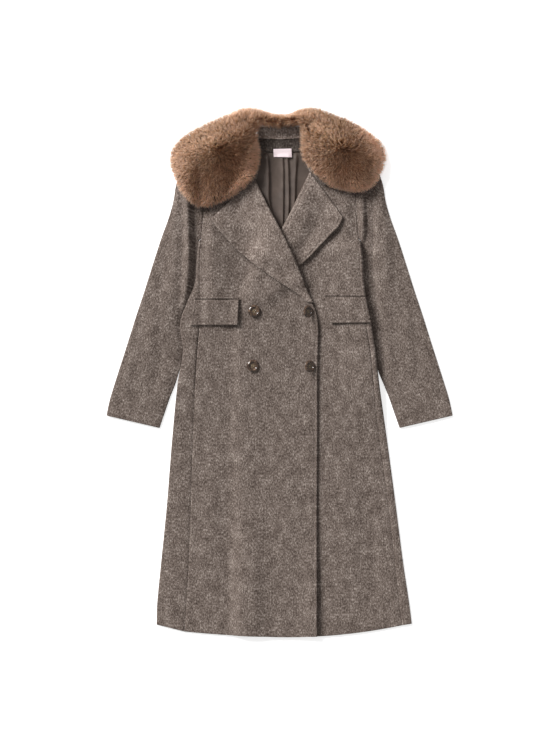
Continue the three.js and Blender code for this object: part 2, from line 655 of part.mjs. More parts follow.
// The fur collar and the wool under collar share these rows, from the right lobe round the neck to the left.
// peek is how far the wool shows past the fur at that row's inner end.
const COLLAR_ROWS = [
  { innerX: -156, innerY: 374, outerX: -188, outerY: 376, full: 0.3, peek: 2 },
  { innerX: -129, innerY: 384, outerX: -208, outerY: 388, full: 0.75, peek: 4 },
  { innerX: -101, innerY: 397, outerX: -227, outerY: 412, full: 0.95, peek: 5 },
  { innerX: -73, innerY: 416, outerX: -240, outerY: 445, full: 1, peek: 5 },
  { innerX: -54, innerY: 437, outerX: -248, outerY: 480, full: 1, peek: 3 },
  { innerX: -44, innerY: 460, outerX: -241, outerY: 506, full: 1, peek: -4 },
  { innerX: -42, innerY: 479, outerX: -216, outerY: 530, full: 1, peek: -6 },
  { innerX: -44, innerY: 497, outerX: -176, outerY: 552, full: 1, peek: -6 },
  { innerX: -50, innerY: 514, outerX: -128, outerY: 575, full: 0.95, peek: -6 },
  { innerX: -54, innerY: 531, outerX: -88, outerY: 594, full: 0.9, peek: -6 },
  { innerX: -46, innerY: 549, outerX: -52, outerY: 593, full: 0.8, peek: -4 },
  { innerX: -22, innerY: 549, outerX: -24, outerY: 583, full: 0.65, peek: -4 },
  { innerX: 2, innerY: 549, outerX: 2, outerY: 579, full: 0.6, peek: -4 },
  { innerX: 26, innerY: 549, outerX: 26, outerY: 581, full: 0.65, peek: -4 },
  { innerX: 48, innerY: 549, outerX: 54, outerY: 594, full: 0.8, peek: -4 },
  { innerX: 52, innerY: 531, outerX: 88, outerY: 594, full: 0.9, peek: -6 },
  { innerX: 49, innerY: 514, outerX: 128, outerY: 578, full: 0.95, peek: -6 },
  { innerX: 48, innerY: 497, outerX: 172, outerY: 558, full: 1, peek: -6 },
  { innerX: 50, innerY: 482, outerX: 208, outerY: 535, full: 1, peek: -6 },
  { innerX: 57, innerY: 469, outerX: 233, outerY: 512, full: 1, peek: -4 },
  { innerX: 69, innerY: 454, outerX: 241, outerY: 488, full: 1, peek: 2 },
  { innerX: 86, innerY: 437, outerX: 236, outerY: 462, full: 1, peek: 4 },
  { innerX: 108, innerY: 421, outerX: 227, outerY: 439, full: 0.95, peek: 5 },
  { innerX: 138, innerY: 413, outerX: 212, outerY: 421, full: 0.75, peek: 5 },
  { innerX: 162, innerY: 409, outerX: 192, outerY: 411, full: 0.3, peek: 4 },
];
const COLLAR_STEPS = 30;

function underCollar() {
  const COLUMNS = 7;
  const OUTER_INSET = 12;
  const inner = lineOf(COLLAR_ROWS, "innerX", "innerY");
  const outer = lineOf(COLLAR_ROWS, "outerX", "outerY");
  const rows = [];
  for (let i = 0; i <= COLLAR_STEPS; i += 1) {
    const t = i / COLLAR_STEPS;
    const from = inner.getPoint(t);
    const to = outer.getPoint(t);
    const inward = to.clone().sub(from).normalize();
    const peek = numberAt(COLLAR_ROWS, "peek", t);
    const start = from.clone().addScaledVector(inward, -peek);
    const end = to.clone().addScaledVector(inward, -OUTER_INSET);
    const row = [];
    for (let j = 0; j <= COLUMNS; j += 1) {
      const place = start.clone().lerp(end, j / COLUMNS);
      row.push(laid(place.x, place.y, WOOL));
    }
    rows.push(row);
  }
  const mesh = addPiece("under_collar", wall(rows, WOOL), WOOL_COLOUR);
  pile.add(mesh.geometry);
}

// The stand rises from the neck seam to the fur at the back of the neck
function collarStand() {
  const rows = [];
  for (let i = 0; i <= 4; i += 1) {
    const row = [];
    for (let j = 0; j <= 8; j += 1) {
      const x = THREE.MathUtils.lerp(-43, 43, j / 8);
      const y = THREE.MathUtils.lerp(528, 554, i / 4) - 3 * (1 - (x / 43) ** 2) * (1 - i / 4);
      row.push(laid(x, y, WOOL, 8 * smoothstep(0, 1, i / 4)));
    }
    rows.push(row);
  }
  const mesh = addPiece("collar_stand", wall(rows, WOOL), WOOL_COLOUR);
  pile.add(mesh.geometry);
}

function hangingLoop() {
  const RADIUS = 0.9;
  const SIDES = 6;
  const STEPS = 14;
  const points = [];
  for (let k = 0; k <= 4; k += 1) {
    const x = THREE.MathUtils.lerp(-26, 30, k / 4);
    const y = 531 - 1.5 * Math.sin((Math.PI * k) / 4);
    points.push(point(x, y, pile.under(x, y, CELL) + GAP + RADIUS));
  }
  const section = new THREE.Shape();
  for (let k = 0; k < SIDES; k += 1) {
    const angle = (2 * Math.PI * k) / SIDES;
    const move = k === 0 ? "moveTo" : "lineTo";
    section[move](RADIUS * Math.cos(angle), RADIUS * Math.sin(angle));
  }
  const path = new THREE.CatmullRomCurve3(points);
  const geometry = new THREE.ExtrudeGeometry(section, { steps: STEPS, extrudePath: path, bevelEnabled: false });
  addPiece("hanging_loop", geometry, SATIN_COLOUR);
}

function furCollar() {
  const COLUMNS = 9;
  const inner = lineOf(COLLAR_ROWS, "innerX", "innerY");
  const outer = lineOf(COLLAR_ROWS, "outerX", "outerY");
  const positions = [];
  for (const isTop of [true, false]) {
    for (let i = 0; i <= COLLAR_STEPS; i += 1) {
      const t = i / COLLAR_STEPS;
      const from = inner.getPoint(t);
      const to = outer.getPoint(t);
      const full = numberAt(COLLAR_ROWS, "full", t) * Math.min(1, 0.5 + 4 * Math.min(t, 1 - t));
      for (let j = 0; j <= COLUMNS; j += 1) {
        const u = (1 - Math.cos((Math.PI * j) / COLUMNS)) / 2;
        const place = from.clone().lerp(to, u);
        const round = (1 - Math.abs(2 * u - 1) ** 2.4) ** 0.5;
        const low = pile.at(place.x, place.y) + GAP;
        const z = isTop ? low + FUR_EDGE + (FUR_HEIGHT - FUR_EDGE) * full * round : low;
        positions.push(place.x, place.y, z);
      }
    }
  }
  const faces = [];
  const width = COLUMNS + 1;
  const half = (COLLAR_STEPS + 1) * width;
  const quad = (a, b, c, d) => faces.push(a, b, c, a, c, d);
  for (let i = 0; i < COLLAR_STEPS; i += 1) {
    for (let j = 0; j < COLUMNS; j += 1) {
      const a = i * width + j;
      quad(a, a + 1, a + 1 + width, a + width);
      quad(half + a, half + a + width, half + a + 1 + width, half + a + 1);
    }
    const first = i * width;
    const end = first + COLUMNS;
    quad(first, first + width, half + first + width, half + first);
    quad(end + width, end, half + end, half + end + width);
  }
  for (let j = 0; j < COLUMNS; j += 1) {
    const end = COLLAR_STEPS * width + j;
    quad(j + 1, j, half + j, half + j + 1);
    quad(end, end + 1, half + end + 1, half + end);
  }
  addPiece("fur_collar", solid(positions, faces), FUR_COLOUR);
}

// Laid from the surface up, as the coat lies
backPanel();
liningPanel();
neckFacing();
neckLabel();
const leftTuck = facingTuck(LEFT_LAPEL);
frontPanel("front_left", LEFT_HALF, 1);
facing("facing_left", LEFT_LAPEL, leftTuck);
const rightTuck = facingTuck(RIGHT_LAPEL);
frontPanel("front_right", RIGHT_HALF, -1);
facing("facing_right", RIGHT_LAPEL, rightTuck);
const sides = [sidePanel("side_right", RIGHT_HALF, -1), sidePanel("side_left", LEFT_HALF, 1)];
sides.forEach((geometry) => pile.add(geometry));
const flaps = [pocketFlap("flap_right", RIGHT_FLAP), pocketFlap("flap_left", LEFT_FLAP)];
BUTTONS.forEach(button);
const sleeves = [sleeve("sleeve_right", RIGHT_HALF, -1), sleeve("sleeve_left", LEFT_HALF, 1)];
[...flaps, ...sleeves].forEach((geometry) => pile.add(geometry));
collarStand();
hangingLoop();
underCollar();
furCollar();

// The origin is at the middle of the coat's box, on the surface it lies on
const box = new THREE.Box3().setFromObject(coat, true);
coat.position.set(-(box.min.x + box.max.x) / 2, -(box.min.y + box.max.y) / 2, -box.min.z);

export default coat;
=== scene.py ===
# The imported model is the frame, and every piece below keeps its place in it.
import math

import bpy
import numpy as np
from mathutils.kdtree import KDTree
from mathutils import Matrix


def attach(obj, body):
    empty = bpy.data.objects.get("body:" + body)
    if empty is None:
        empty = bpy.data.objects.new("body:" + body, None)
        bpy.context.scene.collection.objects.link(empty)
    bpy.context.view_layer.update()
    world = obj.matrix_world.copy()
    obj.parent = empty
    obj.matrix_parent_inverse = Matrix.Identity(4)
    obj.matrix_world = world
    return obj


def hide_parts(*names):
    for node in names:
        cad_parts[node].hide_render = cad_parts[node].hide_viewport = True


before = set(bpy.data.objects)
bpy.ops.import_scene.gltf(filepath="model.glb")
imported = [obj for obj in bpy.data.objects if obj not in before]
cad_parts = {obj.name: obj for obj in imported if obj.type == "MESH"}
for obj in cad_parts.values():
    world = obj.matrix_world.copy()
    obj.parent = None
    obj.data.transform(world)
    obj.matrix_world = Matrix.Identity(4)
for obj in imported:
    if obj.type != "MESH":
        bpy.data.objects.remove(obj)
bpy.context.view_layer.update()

# The coat lies on a white table and is seen from straight above, through a long lens.
# A low lamp on the left models the folds, and white walls fill the shadows. The table glows a little.
PHOTO_ROWS = 746
PIXEL_SIZE = 0.00225
LENS = 150
SENSOR = 36
VIEW_MIDDLE = (0.0011, -0.0011)
COAT_HEIGHT = 0.008
TABLE_SIZE = 12
TABLE_DROP = 0.0002
TABLE_GLOW = 0.6
VIEW_REACH = 50
LAMP_FROM = (-0.92, 0.84, 0.74)
LAMP_STRENGTH = 5.1
LAMP_WIDTH = math.radians(26)
WALL_LIGHT = 0.36


def put(name, data):
    """A new object at the origin, in the scene."""
    thing = bpy.data.objects.new(name, data)
    bpy.context.collection.objects.link(thing)
    return thing


camera_data = bpy.data.cameras.new("camera")
camera_data.lens = LENS
camera_data.sensor_width = SENSOR
camera_data.clip_end = VIEW_REACH
camera = put("camera", camera_data)
camera.location = (*VIEW_MIDDLE, COAT_HEIGHT + PHOTO_ROWS * PIXEL_SIZE * LENS / SENSOR)
bpy.context.scene.camera = camera
bpy.context.scene.view_settings.view_transform = "Standard"


def add_node(tree, kind, inputs=None, **settings):
    """A new node, a shader's if nothing else is said, with inputs set to values or linked to sockets."""
    node = tree.nodes.new(kind if "Node" in kind else "ShaderNode" + kind)
    for key, value in settings.items():
        setattr(node, key, value)
    for key, value in (inputs or {}).items():
        if isinstance(value, bpy.types.NodeSocket):
            tree.links.new(value, node.inputs[key])
        else:
            node.inputs[key].default_value = value
    return node


def new_material(name):
    """A node material with nothing in it yet, and its tree."""
    material = bpy.data.materials.new(name)
    material.use_nodes = True
    material.node_tree.nodes.clear()
    return material, material.node_tree


def show(tree, finish):
    """The material's surface, from a finish: named inputs, set to values or linked to sockets."""
    shader = add_node(tree, "BsdfPrincipled", finish)
    add_node(tree, "OutputMaterial", {"Surface": shader.outputs["BSDF"]})


table_mesh = bpy.data.meshes.new("table")
reach = TABLE_SIZE / 2
corners = [(-reach, -reach), (reach, -reach), (reach, reach), (-reach, reach)]
table_mesh.from_pydata([(x, y, -TABLE_DROP) for x, y in corners], [], [(0, 1, 2, 3)])
table_paint, tree = new_material("table_paint")
show(tree, {
    "Base Color": (0.93, 0.93, 0.93, 1), "Roughness": 1, "Specular IOR Level": 0,
    "Emission Color": (1, 1, 1, 1), "Emission Strength": TABLE_GLOW})
table_mesh.materials.append(table_paint)
table = put("table", table_mesh)

lamp_data = bpy.data.lights.new("lamp", "SUN")
lamp_data.energy = LAMP_STRENGTH
lamp_data.angle = LAMP_WIDTH
lamp = put("lamp", lamp_data)
lamp.location = LAMP_FROM
lamp.rotation_euler = lamp.location.to_track_quat("Z", "Y").to_euler()

walls = bpy.data.worlds.new("walls")
walls.use_nodes = True
walls.node_tree.nodes["Background"].inputs["Color"].default_value = (1, 1, 1, 1)
walls.node_tree.nodes["Background"].inputs["Strength"].default_value = WALL_LIGHT
bpy.context.scene.world = walls

# The back is one wide panel of tweed, and the whole coat lies on it.
# Tweed is woven from flecked brown, grey and cream wool and pressed, so a soft nap covers the weave.
# Each cloth is laid on the pile of what lies under it, a map of heights that is raised piece by piece.
WOOL = 0.002
GAP = 0.0004
LOFT = 0.0016
CELL = 0.002
HALF_WIDTH = 0.42
HALF_LENGTH = 0.63
SIDE_UNDERLAP = 0.03
BACK_LENGTH = 1.12
BACK_WIDTH = 0.56
BACK_STEP = 0.013
ARMHOLE_START = 0.78
HEM_BOW = 0.02
SHOULDER_RISE = 0.041
THIN_EDGE = 0.3
STITCH_REACH = 0.0014
STITCH_HALF = 0.0004
STITCH_DRAW = 0.5

RIGHT_HALF = [
    dict(edge=(-0.277, -0.568), seam=(-0.214, -0.583), front=(0.084, -0.594), roll=0, bow=0.005),
    dict(edge=(-0.276, -0.525), seam=(-0.211, -0.54), front=(0.084, -0.545), roll=0, bow=0.003),
    dict(edge=(-0.267, -0.43), seam=(-0.205, -0.433), front=(0.084, -0.43), roll=0, bow=0),
    dict(edge=(-0.254, -0.3), seam=(-0.2, -0.3), front=(0.084, -0.3), roll=0, bow=0),
    dict(edge=(-0.242, -0.15), seam=(-0.195, -0.15), front=(0.085, -0.15), roll=0, bow=0),
    dict(edge=(-0.23, -0.028), seam=(-0.19, -0.028), front=(0.085, -0.03), roll=0, bow=0),
    dict(edge=(-0.218, 0.05), seam=(-0.185, 0.05), front=(0.086, 0.053), roll=0, bow=0),
    dict(edge=(-0.2245, 0.109), seam=(-0.18, 0.109), front=(0.087, 0.105), roll=0, bow=0),
    dict(edge=(-0.2105, 0.154), seam=(-0.18, 0.154), front=(0.082, 0.144), roll=0.5, bow=0),
    dict(edge=(-0.1915, 0.2), seam=(-0.18, 0.2), front=(0.065, 0.176), roll=1, bow=0),
    dict(edge=(-0.188, 0.25), seam=(-0.18, 0.25), front=(0.039, 0.244), roll=1, bow=0),
    dict(edge=(-0.183, 0.296), seam=(-0.177, 0.3), front=(0.005, 0.317), roll=1, bow=0),
    dict(edge=(0, 0), seam=(-0.171, 0.365), front=(-0.025, 0.374), roll=1, bow=0),
    dict(edge=(0, 0), seam=(-0.17, 0.43), front=(-0.06, 0.444), roll=1, bow=0),
    dict(edge=(0, 0), seam=(-0.172, 0.489), front=(-0.05, 0.534), roll=1, bow=0),
]
LEFT_HALF = [
    dict(edge=(0.298, -0.566), seam=(0.276, -0.569), front=(-0.082, -0.592), roll=0, bow=0.013),
    dict(edge=(0.293, -0.525), seam=(0.271, -0.53), front=(-0.082, -0.545), roll=0, bow=0.007),
    dict(edge=(0.279, -0.432), seam=(0.26, -0.433), front=(-0.082, -0.43), roll=0, bow=0),
    dict(edge=(0.262, -0.3), seam=(0.245, -0.3), front=(-0.082, -0.3), roll=0, bow=0),
    dict(edge=(0.242, -0.15), seam=(0.225, -0.15), front=(-0.082, -0.15), roll=0, bow=0),
    dict(edge=(0.225, -0.028), seam=(0.211, -0.028), front=(-0.082, -0.03), roll=0, bow=0),
    dict(edge=(0.216, 0.05), seam=(0.203, 0.05), front=(-0.082, 0.053), roll=0, bow=0),
    dict(edge=(0.207, 0.108), seam=(0.194, 0.105), front=(-0.082, 0.105), roll=0, bow=0),
    dict(edge=(0.197, 0.154), seam=(0.188, 0.154), front=(-0.077, 0.144), roll=0.5, bow=0),
    dict(edge=(0.191, 0.2), seam=(0.183, 0.2), front=(-0.061, 0.176), roll=1, bow=0),
    dict(edge=(0.188, 0.25), seam=(0.181, 0.25), front=(-0.034, 0.244), roll=1, bow=0),
    dict(edge=(0.184, 0.296), seam=(0.178, 0.3), front=(0.003, 0.317), roll=1, bow=0),
    dict(edge=(0, 0), seam=(0.172, 0.365), front=(0.031, 0.374), roll=1, bow=0),
    dict(edge=(0, 0), seam=(0.171, 0.43), front=(0.067, 0.448), roll=1, bow=0),
    dict(edge=(0, 0), seam=(0.172, 0.489), front=(0.05, 0.534), roll=1, bow=0),
]
WOOL_SHADES = [
    (0.34, (0.016, 0.011, 0.008)),
    (0.45, (0.096, 0.072, 0.060)),
    (0.54, (0.175, 0.138, 0.118)),
    (0.68, (0.52, 0.45, 0.40)),
]
UNDERARM_ROW = 11
HALF_ROWS = len(RIGHT_HALF) - 1

pile = np.zeros((round(2 * HALF_LENGTH / CELL) + 1, round(2 * HALF_WIDTH / CELL) + 1))


def smoothstep(low, high, value):
    """0 below low, 1 above high, and soft between them."""
    part = np.clip((value - low) / (high - low), 0, 1)
    return part * part * (3 - 2 * part)


def blend(a, b, part):
    """From a to b, with a last axis added to part where a and b are points."""
    part = np.asarray(part)
    part = part.reshape(part.shape + (1,) * (np.ndim(a) - part.ndim))
    return a * (1 - part) + b * part


def between(near, far, u):
    """Places at parts u of the way from each point of one line to the same point of another."""
    return blend(near[:, None], far[:, None], u[None, :])


def line_through(points):
    """A smooth line through points, read at 0 for the first of them to 1 for the last."""
    points = np.array(points, float)
    spans = np.diff(points, axis=0)
    gaps = np.linalg.norm(spans, axis=1)[:, None] ** 0.5
    slopes = spans / gaps
    inner = (slopes[:-1] * gaps[1:] + slopes[1:] * gaps[:-1]) / (gaps[:-1] + gaps[1:])
    slopes = np.vstack([slopes[:1], inner, slopes[-1:]])

    def at(t):
        place = np.clip(t, 0, 1) * (len(points) - 1)
        low = np.minimum(place.astype(int), len(points) - 2)
        f = (place - low)[..., None]
        gap = gaps[low]
        ends = points[low] * (1 + 2 * f) * (1 - f) ** 2 + points[low + 1] * f * f * (3 - 2 * f)
        return ends + gap * slopes[low] * f * (1 - f) ** 2 - gap * slopes[low + 1] * f * f * (1 - f)

    return at


def column(table, name):
    """A column of points in a table, as a smooth line."""
    return line_through([row[name] for row in table])


def number(table, name, t):
    """A column of numbers in a table, read as its lines are."""
    values = [row[name] for row in table]
    return np.interp(np.asarray(t) * (len(values) - 1), range(len(values)), values)


def evenly(line, parts, first=0.0, last=1.0):
    """Where to read a line, so that the places lie at these parts of its length."""
    t = np.linspace(first, last, 400)
    run = np.concatenate([[0], np.cumsum(np.linalg.norm(np.diff(line(t), axis=0), axis=1))])
    return np.interp(np.asarray(parts) * run[-1], run, t)


def stations(length, step, edge=WOOL / 2, stitched=None, first_edge=None):
    """Places from 0 to 1 along a length, and how full a wall is there: it rounds off at both ends.

    A stitched line draws the wall in. A first edge of its own is a seam, and isn't drawn in.
    """
    ends = []
    for round_off in (first_edge or edge, edge):
        near = [0, 0.15 * round_off, 0.45 * round_off, round_off]
        if stitched:
            near += [stitched - STITCH_REACH, stitched, stitched + STITCH_REACH]
        ends.append(np.array(near))
    count = max(1, round((length - ends[0][-1] - ends[1][-1]) / step))
    middle = np.linspace(ends[0][-1], length - ends[1][-1], count + 1)
    distance = np.concatenate([ends[0][:-1], middle, length - ends[1][-2::-1]])
    full = np.ones(len(distance))
    both_ends = [(distance, first_edge or edge, not first_edge), (length - distance, edge, True)]
    for inside, round_off, drawn in both_ends:
        full *= np.sqrt(1 - (1 - np.minimum(inside / round_off, 1)) ** 2)
        if stitched and drawn:
            full *= 1 - STITCH_DRAW * (np.abs(inside - stitched) < STITCH_HALF)
    return distance / length, np.maximum(full, THIN_EDGE)


def near_cells(heights, cells, combine):
    """Each cell of a map combined with its neighbours, up to some cells away."""
    for axis in (0, 1):
        border = [(cells, cells) if side == axis else (0, 0) for side in (0, 1)]
        padded = np.pad(heights, border, mode="edge")
        windows = np.lib.stride_tricks.sliding_window_view(padded, 2 * cells + 1, axis)
        heights = combine(windows, axis=-1)
    return heights


def height_at(heights, places):
    """Heights of a map at places, between its cells."""
    row = np.clip((places[..., 1] + HALF_LENGTH) / CELL, 0, heights.shape[0] - 1.001)
    col = np.clip((places[..., 0] + HALF_WIDTH) / CELL, 0, heights.shape[1] - 1.001)
    i = row.astype(int)
    j = col.astype(int)
    low = blend(heights[i, j], heights[i, j + 1], col - j)
    high = blend(heights[i + 1, j], heights[i + 1, j + 1], col - j)
    return blend(low, high, row - i)


def laid(places, thickness, lift=0, bridge=2):
    """Middle points of a cloth laid on the pile. It bridges steps and softens them, by some cells."""
    rest = near_cells(pile, bridge, np.max)
    for _ in range(2):
        rest = near_cells(rest, max(1, bridge // 2), np.mean)
    return np.dstack([places, height_at(rest, places) + GAP + lift + thickness / 2])


def raise_pile(surface):
    """The pile now reaches this grid of points where it was lower."""
    down = math.ceil(np.linalg.norm(np.diff(surface, axis=0), axis=-1).max() / CELL) + 1
    across = math.ceil(np.linalg.norm(np.diff(surface, axis=1), axis=-1).max() / CELL) + 1
    for a in np.linspace(0, 1, down):
        edge = surface[:-1] * (1 - a) + surface[1:] * a
        for b in np.linspace(0, 1, across):
            points = edge[:, :-1] * (1 - b) + edge[:, 1:] * b
            rows = np.rint((points[..., 1] + HALF_LENGTH) / CELL).astype(int)
            cols = np.rint((points[..., 0] + HALF_WIDTH) / CELL).astype(int)
            np.maximum.at(pile, (rows, cols), points[..., 2])


def soft_fold(places, path, wide, high):
    """A soft ridge along a drawn line, or a trough where high is below 0. It fades at its ends."""
    steps = 160
    line = line_through(path)(np.linspace(0, 1, steps))
    away = np.linalg.norm(places[..., None, :] - line, axis=-1)
    along = away.argmin(axis=-1) / (steps - 1)
    fade = smoothstep(0, 0.3, along) * (1 - smoothstep(0.7, 1, along))
    return high * fade * np.exp(-((away.min(axis=-1) / wide) ** 2))


def mesh_piece(name, points, faces, material):
    """An object at the origin from points and faces, its faces turned out."""
    points = np.asarray(points)
    faces = np.asarray(faces)
    a, b, c = (points[faces[:, k]] for k in range(3))
    inward = np.einsum("ij,ij->i", a, np.cross(b, c)).sum() < 0
    mesh = bpy.data.meshes.new(name)
    mesh.from_pydata(points, [], faces[:, ::-1] if inward else faces)
    mesh.shade_smooth()
    mesh.materials.append(material)
    return put(name, mesh)


def lay_weave(mesh, across, along):
    """Real distances across and along a cloth, as the mesh's UV map."""
    corner_points = np.zeros(len(mesh.loops), int)
    mesh.loops.foreach_get("vertex_index", corner_points)
    weave = np.stack([across, along], axis=-1)[corner_points]
    mesh.uv_layers.new(name="grain").data.foreach_set("uv", weave.ravel())


def quads(a, b):
    """Faces between two lines of point numbers."""
    return np.stack([a[:-1], a[1:], b[1:], b[:-1]], axis=-1)


def cloth(name, middle, thickness, material, ring=False, grain=0):
    """A closed wall on both sides of a grid of middle points, and the grid of its upper face.

    The weave runs up the piece, turned by some degrees, at its real size.
    """
    rows, cols = middle.shape[:2]
    if ring:
        around = np.roll(middle, -1, axis=1) - np.roll(middle, 1, axis=1)
    else:
        around = np.gradient(middle, axis=1)
    normal = np.cross(around, np.gradient(middle, axis=0))
    normal /= np.linalg.norm(normal, axis=-1, keepdims=True)
    half = normal * np.broadcast_to(thickness, (rows, cols))[..., None] / 2
    sides = [middle + half, middle - half]
    top = np.arange(rows * cols).reshape(rows, cols)
    if ring:
        top = np.hstack([top, top[:, :1]])
    under = top + rows * cols
    faces = [quads(top[:, k], top[:, k + 1]) for k in range(top.shape[1] - 1)]
    faces += [quads(under[:, k + 1], under[:, k]) for k in range(top.shape[1] - 1)]
    faces += [quads(top[0], under[0]), quads(under[-1], top[-1])]
    if not ring:
        faces += [quads(under[:, 0], top[:, 0]), quads(top[:, -1], under[:, -1])]
    points = np.vstack([side.reshape(-1, 3) for side in sides])
    piece = mesh_piece(name, points, np.vstack(faces), material)
    turn = math.radians(grain)
    x, y, z = points.T
    across = x * math.cos(turn) + y * math.sin(turn) + z
    lay_weave(piece.data, across, y * math.cos(turn) - x * math.sin(turn))
    highest = sides[0] if sides[0][..., 2].mean() > sides[1][..., 2].mean() else sides[1]
    return piece, highest


def sew_on(piece, slot, flat, area, rests_on, *nodes, held="laid"):
    """A piece of cloth rides with the coat and stands for its nodes."""
    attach(piece, "root")
    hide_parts(*nodes)


def ramp(tree, value, stops):
    """Colours of a value, from pairs of a place and a colour."""
    node = add_node(tree, "ValToRGB", {"Fac": value})
    while len(node.color_ramp.elements) < len(stops):
        node.color_ramp.elements.new(0.5)
    for element, (place, colour) in zip(node.color_ramp.elements, stops):
        element.position = place
        element.color = (*colour, 1)
    return node.outputs["Color"]


def math_node(tree, operation, *values):
    """A number worked out from numbers or sockets."""
    node = add_node(tree, "Math", operation=operation)
    for socket, value in zip(node.inputs, values):
        if isinstance(value, bpy.types.NodeSocket):
            tree.links.new(value, socket)
        else:
            socket.default_value = value
    return node.outputs["Value"]


def tweed(name, depth=1.0):
    """Flecked wool tweed. A depth under 1 darkens it, as painted shade inside the neck, and one over 1 makes
    it paler, as painted light on the lapels and the stand.
    """
    material, tree = new_material(name)
    grain = add_node(tree, "UVMap", uv_map="grain").outputs["UV"]
    long_grain = add_node(tree, "Mapping", {"Vector": grain, "Scale": (1, 0.62, 1)}).outputs["Vector"]
    flecks = add_node(tree, "TexNoise", {"Vector": long_grain, "Scale": 330, "Detail": 3, "Roughness": 0.7})
    yarns = add_node(tree, "TexNoise", {"Vector": grain, "Scale": 1100, "Detail": 2, "Roughness": 0.6})
    clouds = add_node(tree, "TexNoise", {"Vector": long_grain, "Scale": 55, "Detail": 3, "Roughness": 0.6})
    slant = add_node(tree, "Mapping", {"Vector": grain, "Rotation": (0, 0, math.radians(52))})
    twill = add_node(tree, "TexWave", {
        "Vector": slant.outputs["Vector"], "Scale": 190, "Distortion": 2.4, "Detail": 2})
    mixed = math_node(tree, "MULTIPLY_ADD", flecks.outputs["Fac"], 0.62, math_node(
        tree, "MULTIPLY_ADD", yarns.outputs["Fac"], 0.38, math_node(
            tree, "MULTIPLY_ADD", clouds.outputs["Fac"], 0.22, -0.11)))
    colour = ramp(tree, mixed, [(place, np.multiply(shade, depth)) for place, shade in WOOL_SHADES])
    relief = math_node(tree, "MULTIPLY_ADD", twill.outputs["Fac"], 0.3, mixed)
    bump = add_node(tree, "Bump", {"Height": relief, "Strength": 0.55, "Distance": 0.0007})
    show(tree, {
        "Base Color": colour, "Normal": bump.outputs["Normal"], "Roughness": 0.9, "Specular IOR Level": 0.15,
        "Sheen Weight": 0.12, "Sheen Roughness": 0.45, "Sheen Tint": (0.86, 0.82, 0.78, 1)})
    return material


wool_tweed = tweed("wool_tweed")
# The lapels wear a paler copy of the tweed: painted light and sheen, where the turned-back cloth catches the
# lamp.
lapel_tweed = tweed("lapel_tweed", 1.21)


def fold_line(half):
    """The fold at a coat's side, from hem to underarm."""
    return column(half[:UNDERARM_ROW + 1], "edge")


def back_edge(half, inward, t):
    """The back's side edge: inside the fold up to the underarm, and then the armhole."""
    under = t < ARMHOLE_START
    below = fold_line(half)(t / ARMHOLE_START)
    below[:, 0] += inward * SIDE_UNDERLAP
    armhole_top = blend(UNDERARM_ROW + 0.2, HALF_ROWS, (t - ARMHOLE_START) / (1 - ARMHOLE_START)) / HALF_ROWS
    return np.where(under[:, None], below, column(half, "seam")(armhole_top))


t, full_rows = stations(BACK_LENGTH, BACK_STEP)
u, full_columns = stations(BACK_WIDTH, BACK_STEP)
places = between(back_edge(RIGHT_HALF, 1, t), back_edge(LEFT_HALF, -1, t), u)
places[..., 1] -= HEM_BOW * ((1 - smoothstep(0, 0.15, t))[:, None] * 4 * u * (1 - u))
from_sides = np.minimum(1, (1 - np.abs(2 * u - 1)) / 0.7)
places[..., 1] += SHOULDER_RISE * smoothstep(0.9, 1, t)[:, None] * from_sides
back, face = cloth("coat_back", np.dstack([places, np.full(places.shape[:2], WOOL / 2)]),
                   WOOL * np.outer(full_rows, full_columns), wool_tweed)
raise_pile(face)
sew_on(back, "wool", (0.60, 1.17), 0.53, ["table"], "back")

# The side panels' lower legs will lie level with the back, so the pile starts at the coat's folds.
t = np.linspace(0, 1, 240)
u = np.linspace(0, 1, 120)
places = between(fold_line(RIGHT_HALF)(t), fold_line(LEFT_HALF)(t), u)
raise_pile(np.dstack([places, np.full(places.shape[:2], WOOL)]))

# The lining is thin brown satin, seen only in the open neck.
# Its pleats start under the label and draw together to where the fronts cross.
SATIN = 0.0008
LINING_LENGTH = 0.184
LINING_WIDTH = 0.14
LINING_STEP = 0.0025
PLEAT_DROP = 0.0022
PLEATS_FADE = 0.06
LINING_ROWS = [
    dict(right=(-0.066, 0.494), left=(0.066, 0.494)),
    dict(right=(-0.062, 0.46), left=(0.082, 0.46)),
    dict(right=(-0.066, 0.425), left=(0.07, 0.425)),
    dict(right=(-0.046, 0.385), left=(0.052, 0.385)),
    dict(right=(-0.026, 0.345), left=(0.032, 0.345)),
    dict(right=(-0.012, 0.31), left=(0.018, 0.31)),
]
# Each pleat climbs from the right and drops at its line: where it is, its height and how wide it climbs
LINING_PLEATS = [
    dict(path=[(-0.027, 0.50), (-0.024, 0.44), (-0.023, 0.385), (-0.010, 0.335), (0.000, 0.30)],
         high=0.0066, wide=0.016),
    dict(path=[(0.007, 0.49), (0.0085, 0.44), (0.008, 0.38), (0.007, 0.33), (0.005, 0.30)],
         high=0.0044, wide=0.012),
    dict(path=[(0.018, 0.49), (0.0205, 0.44), (0.021, 0.40), (0.0205, 0.36), (0.017, 0.30)],
         high=0.0050, wide=0.008),
    dict(path=[(0.044, 0.52), (0.039, 0.48), (0.036, 0.44), (0.035, 0.40), (0.033, 0.36)],
         high=0.0040, wide=0.011),
]


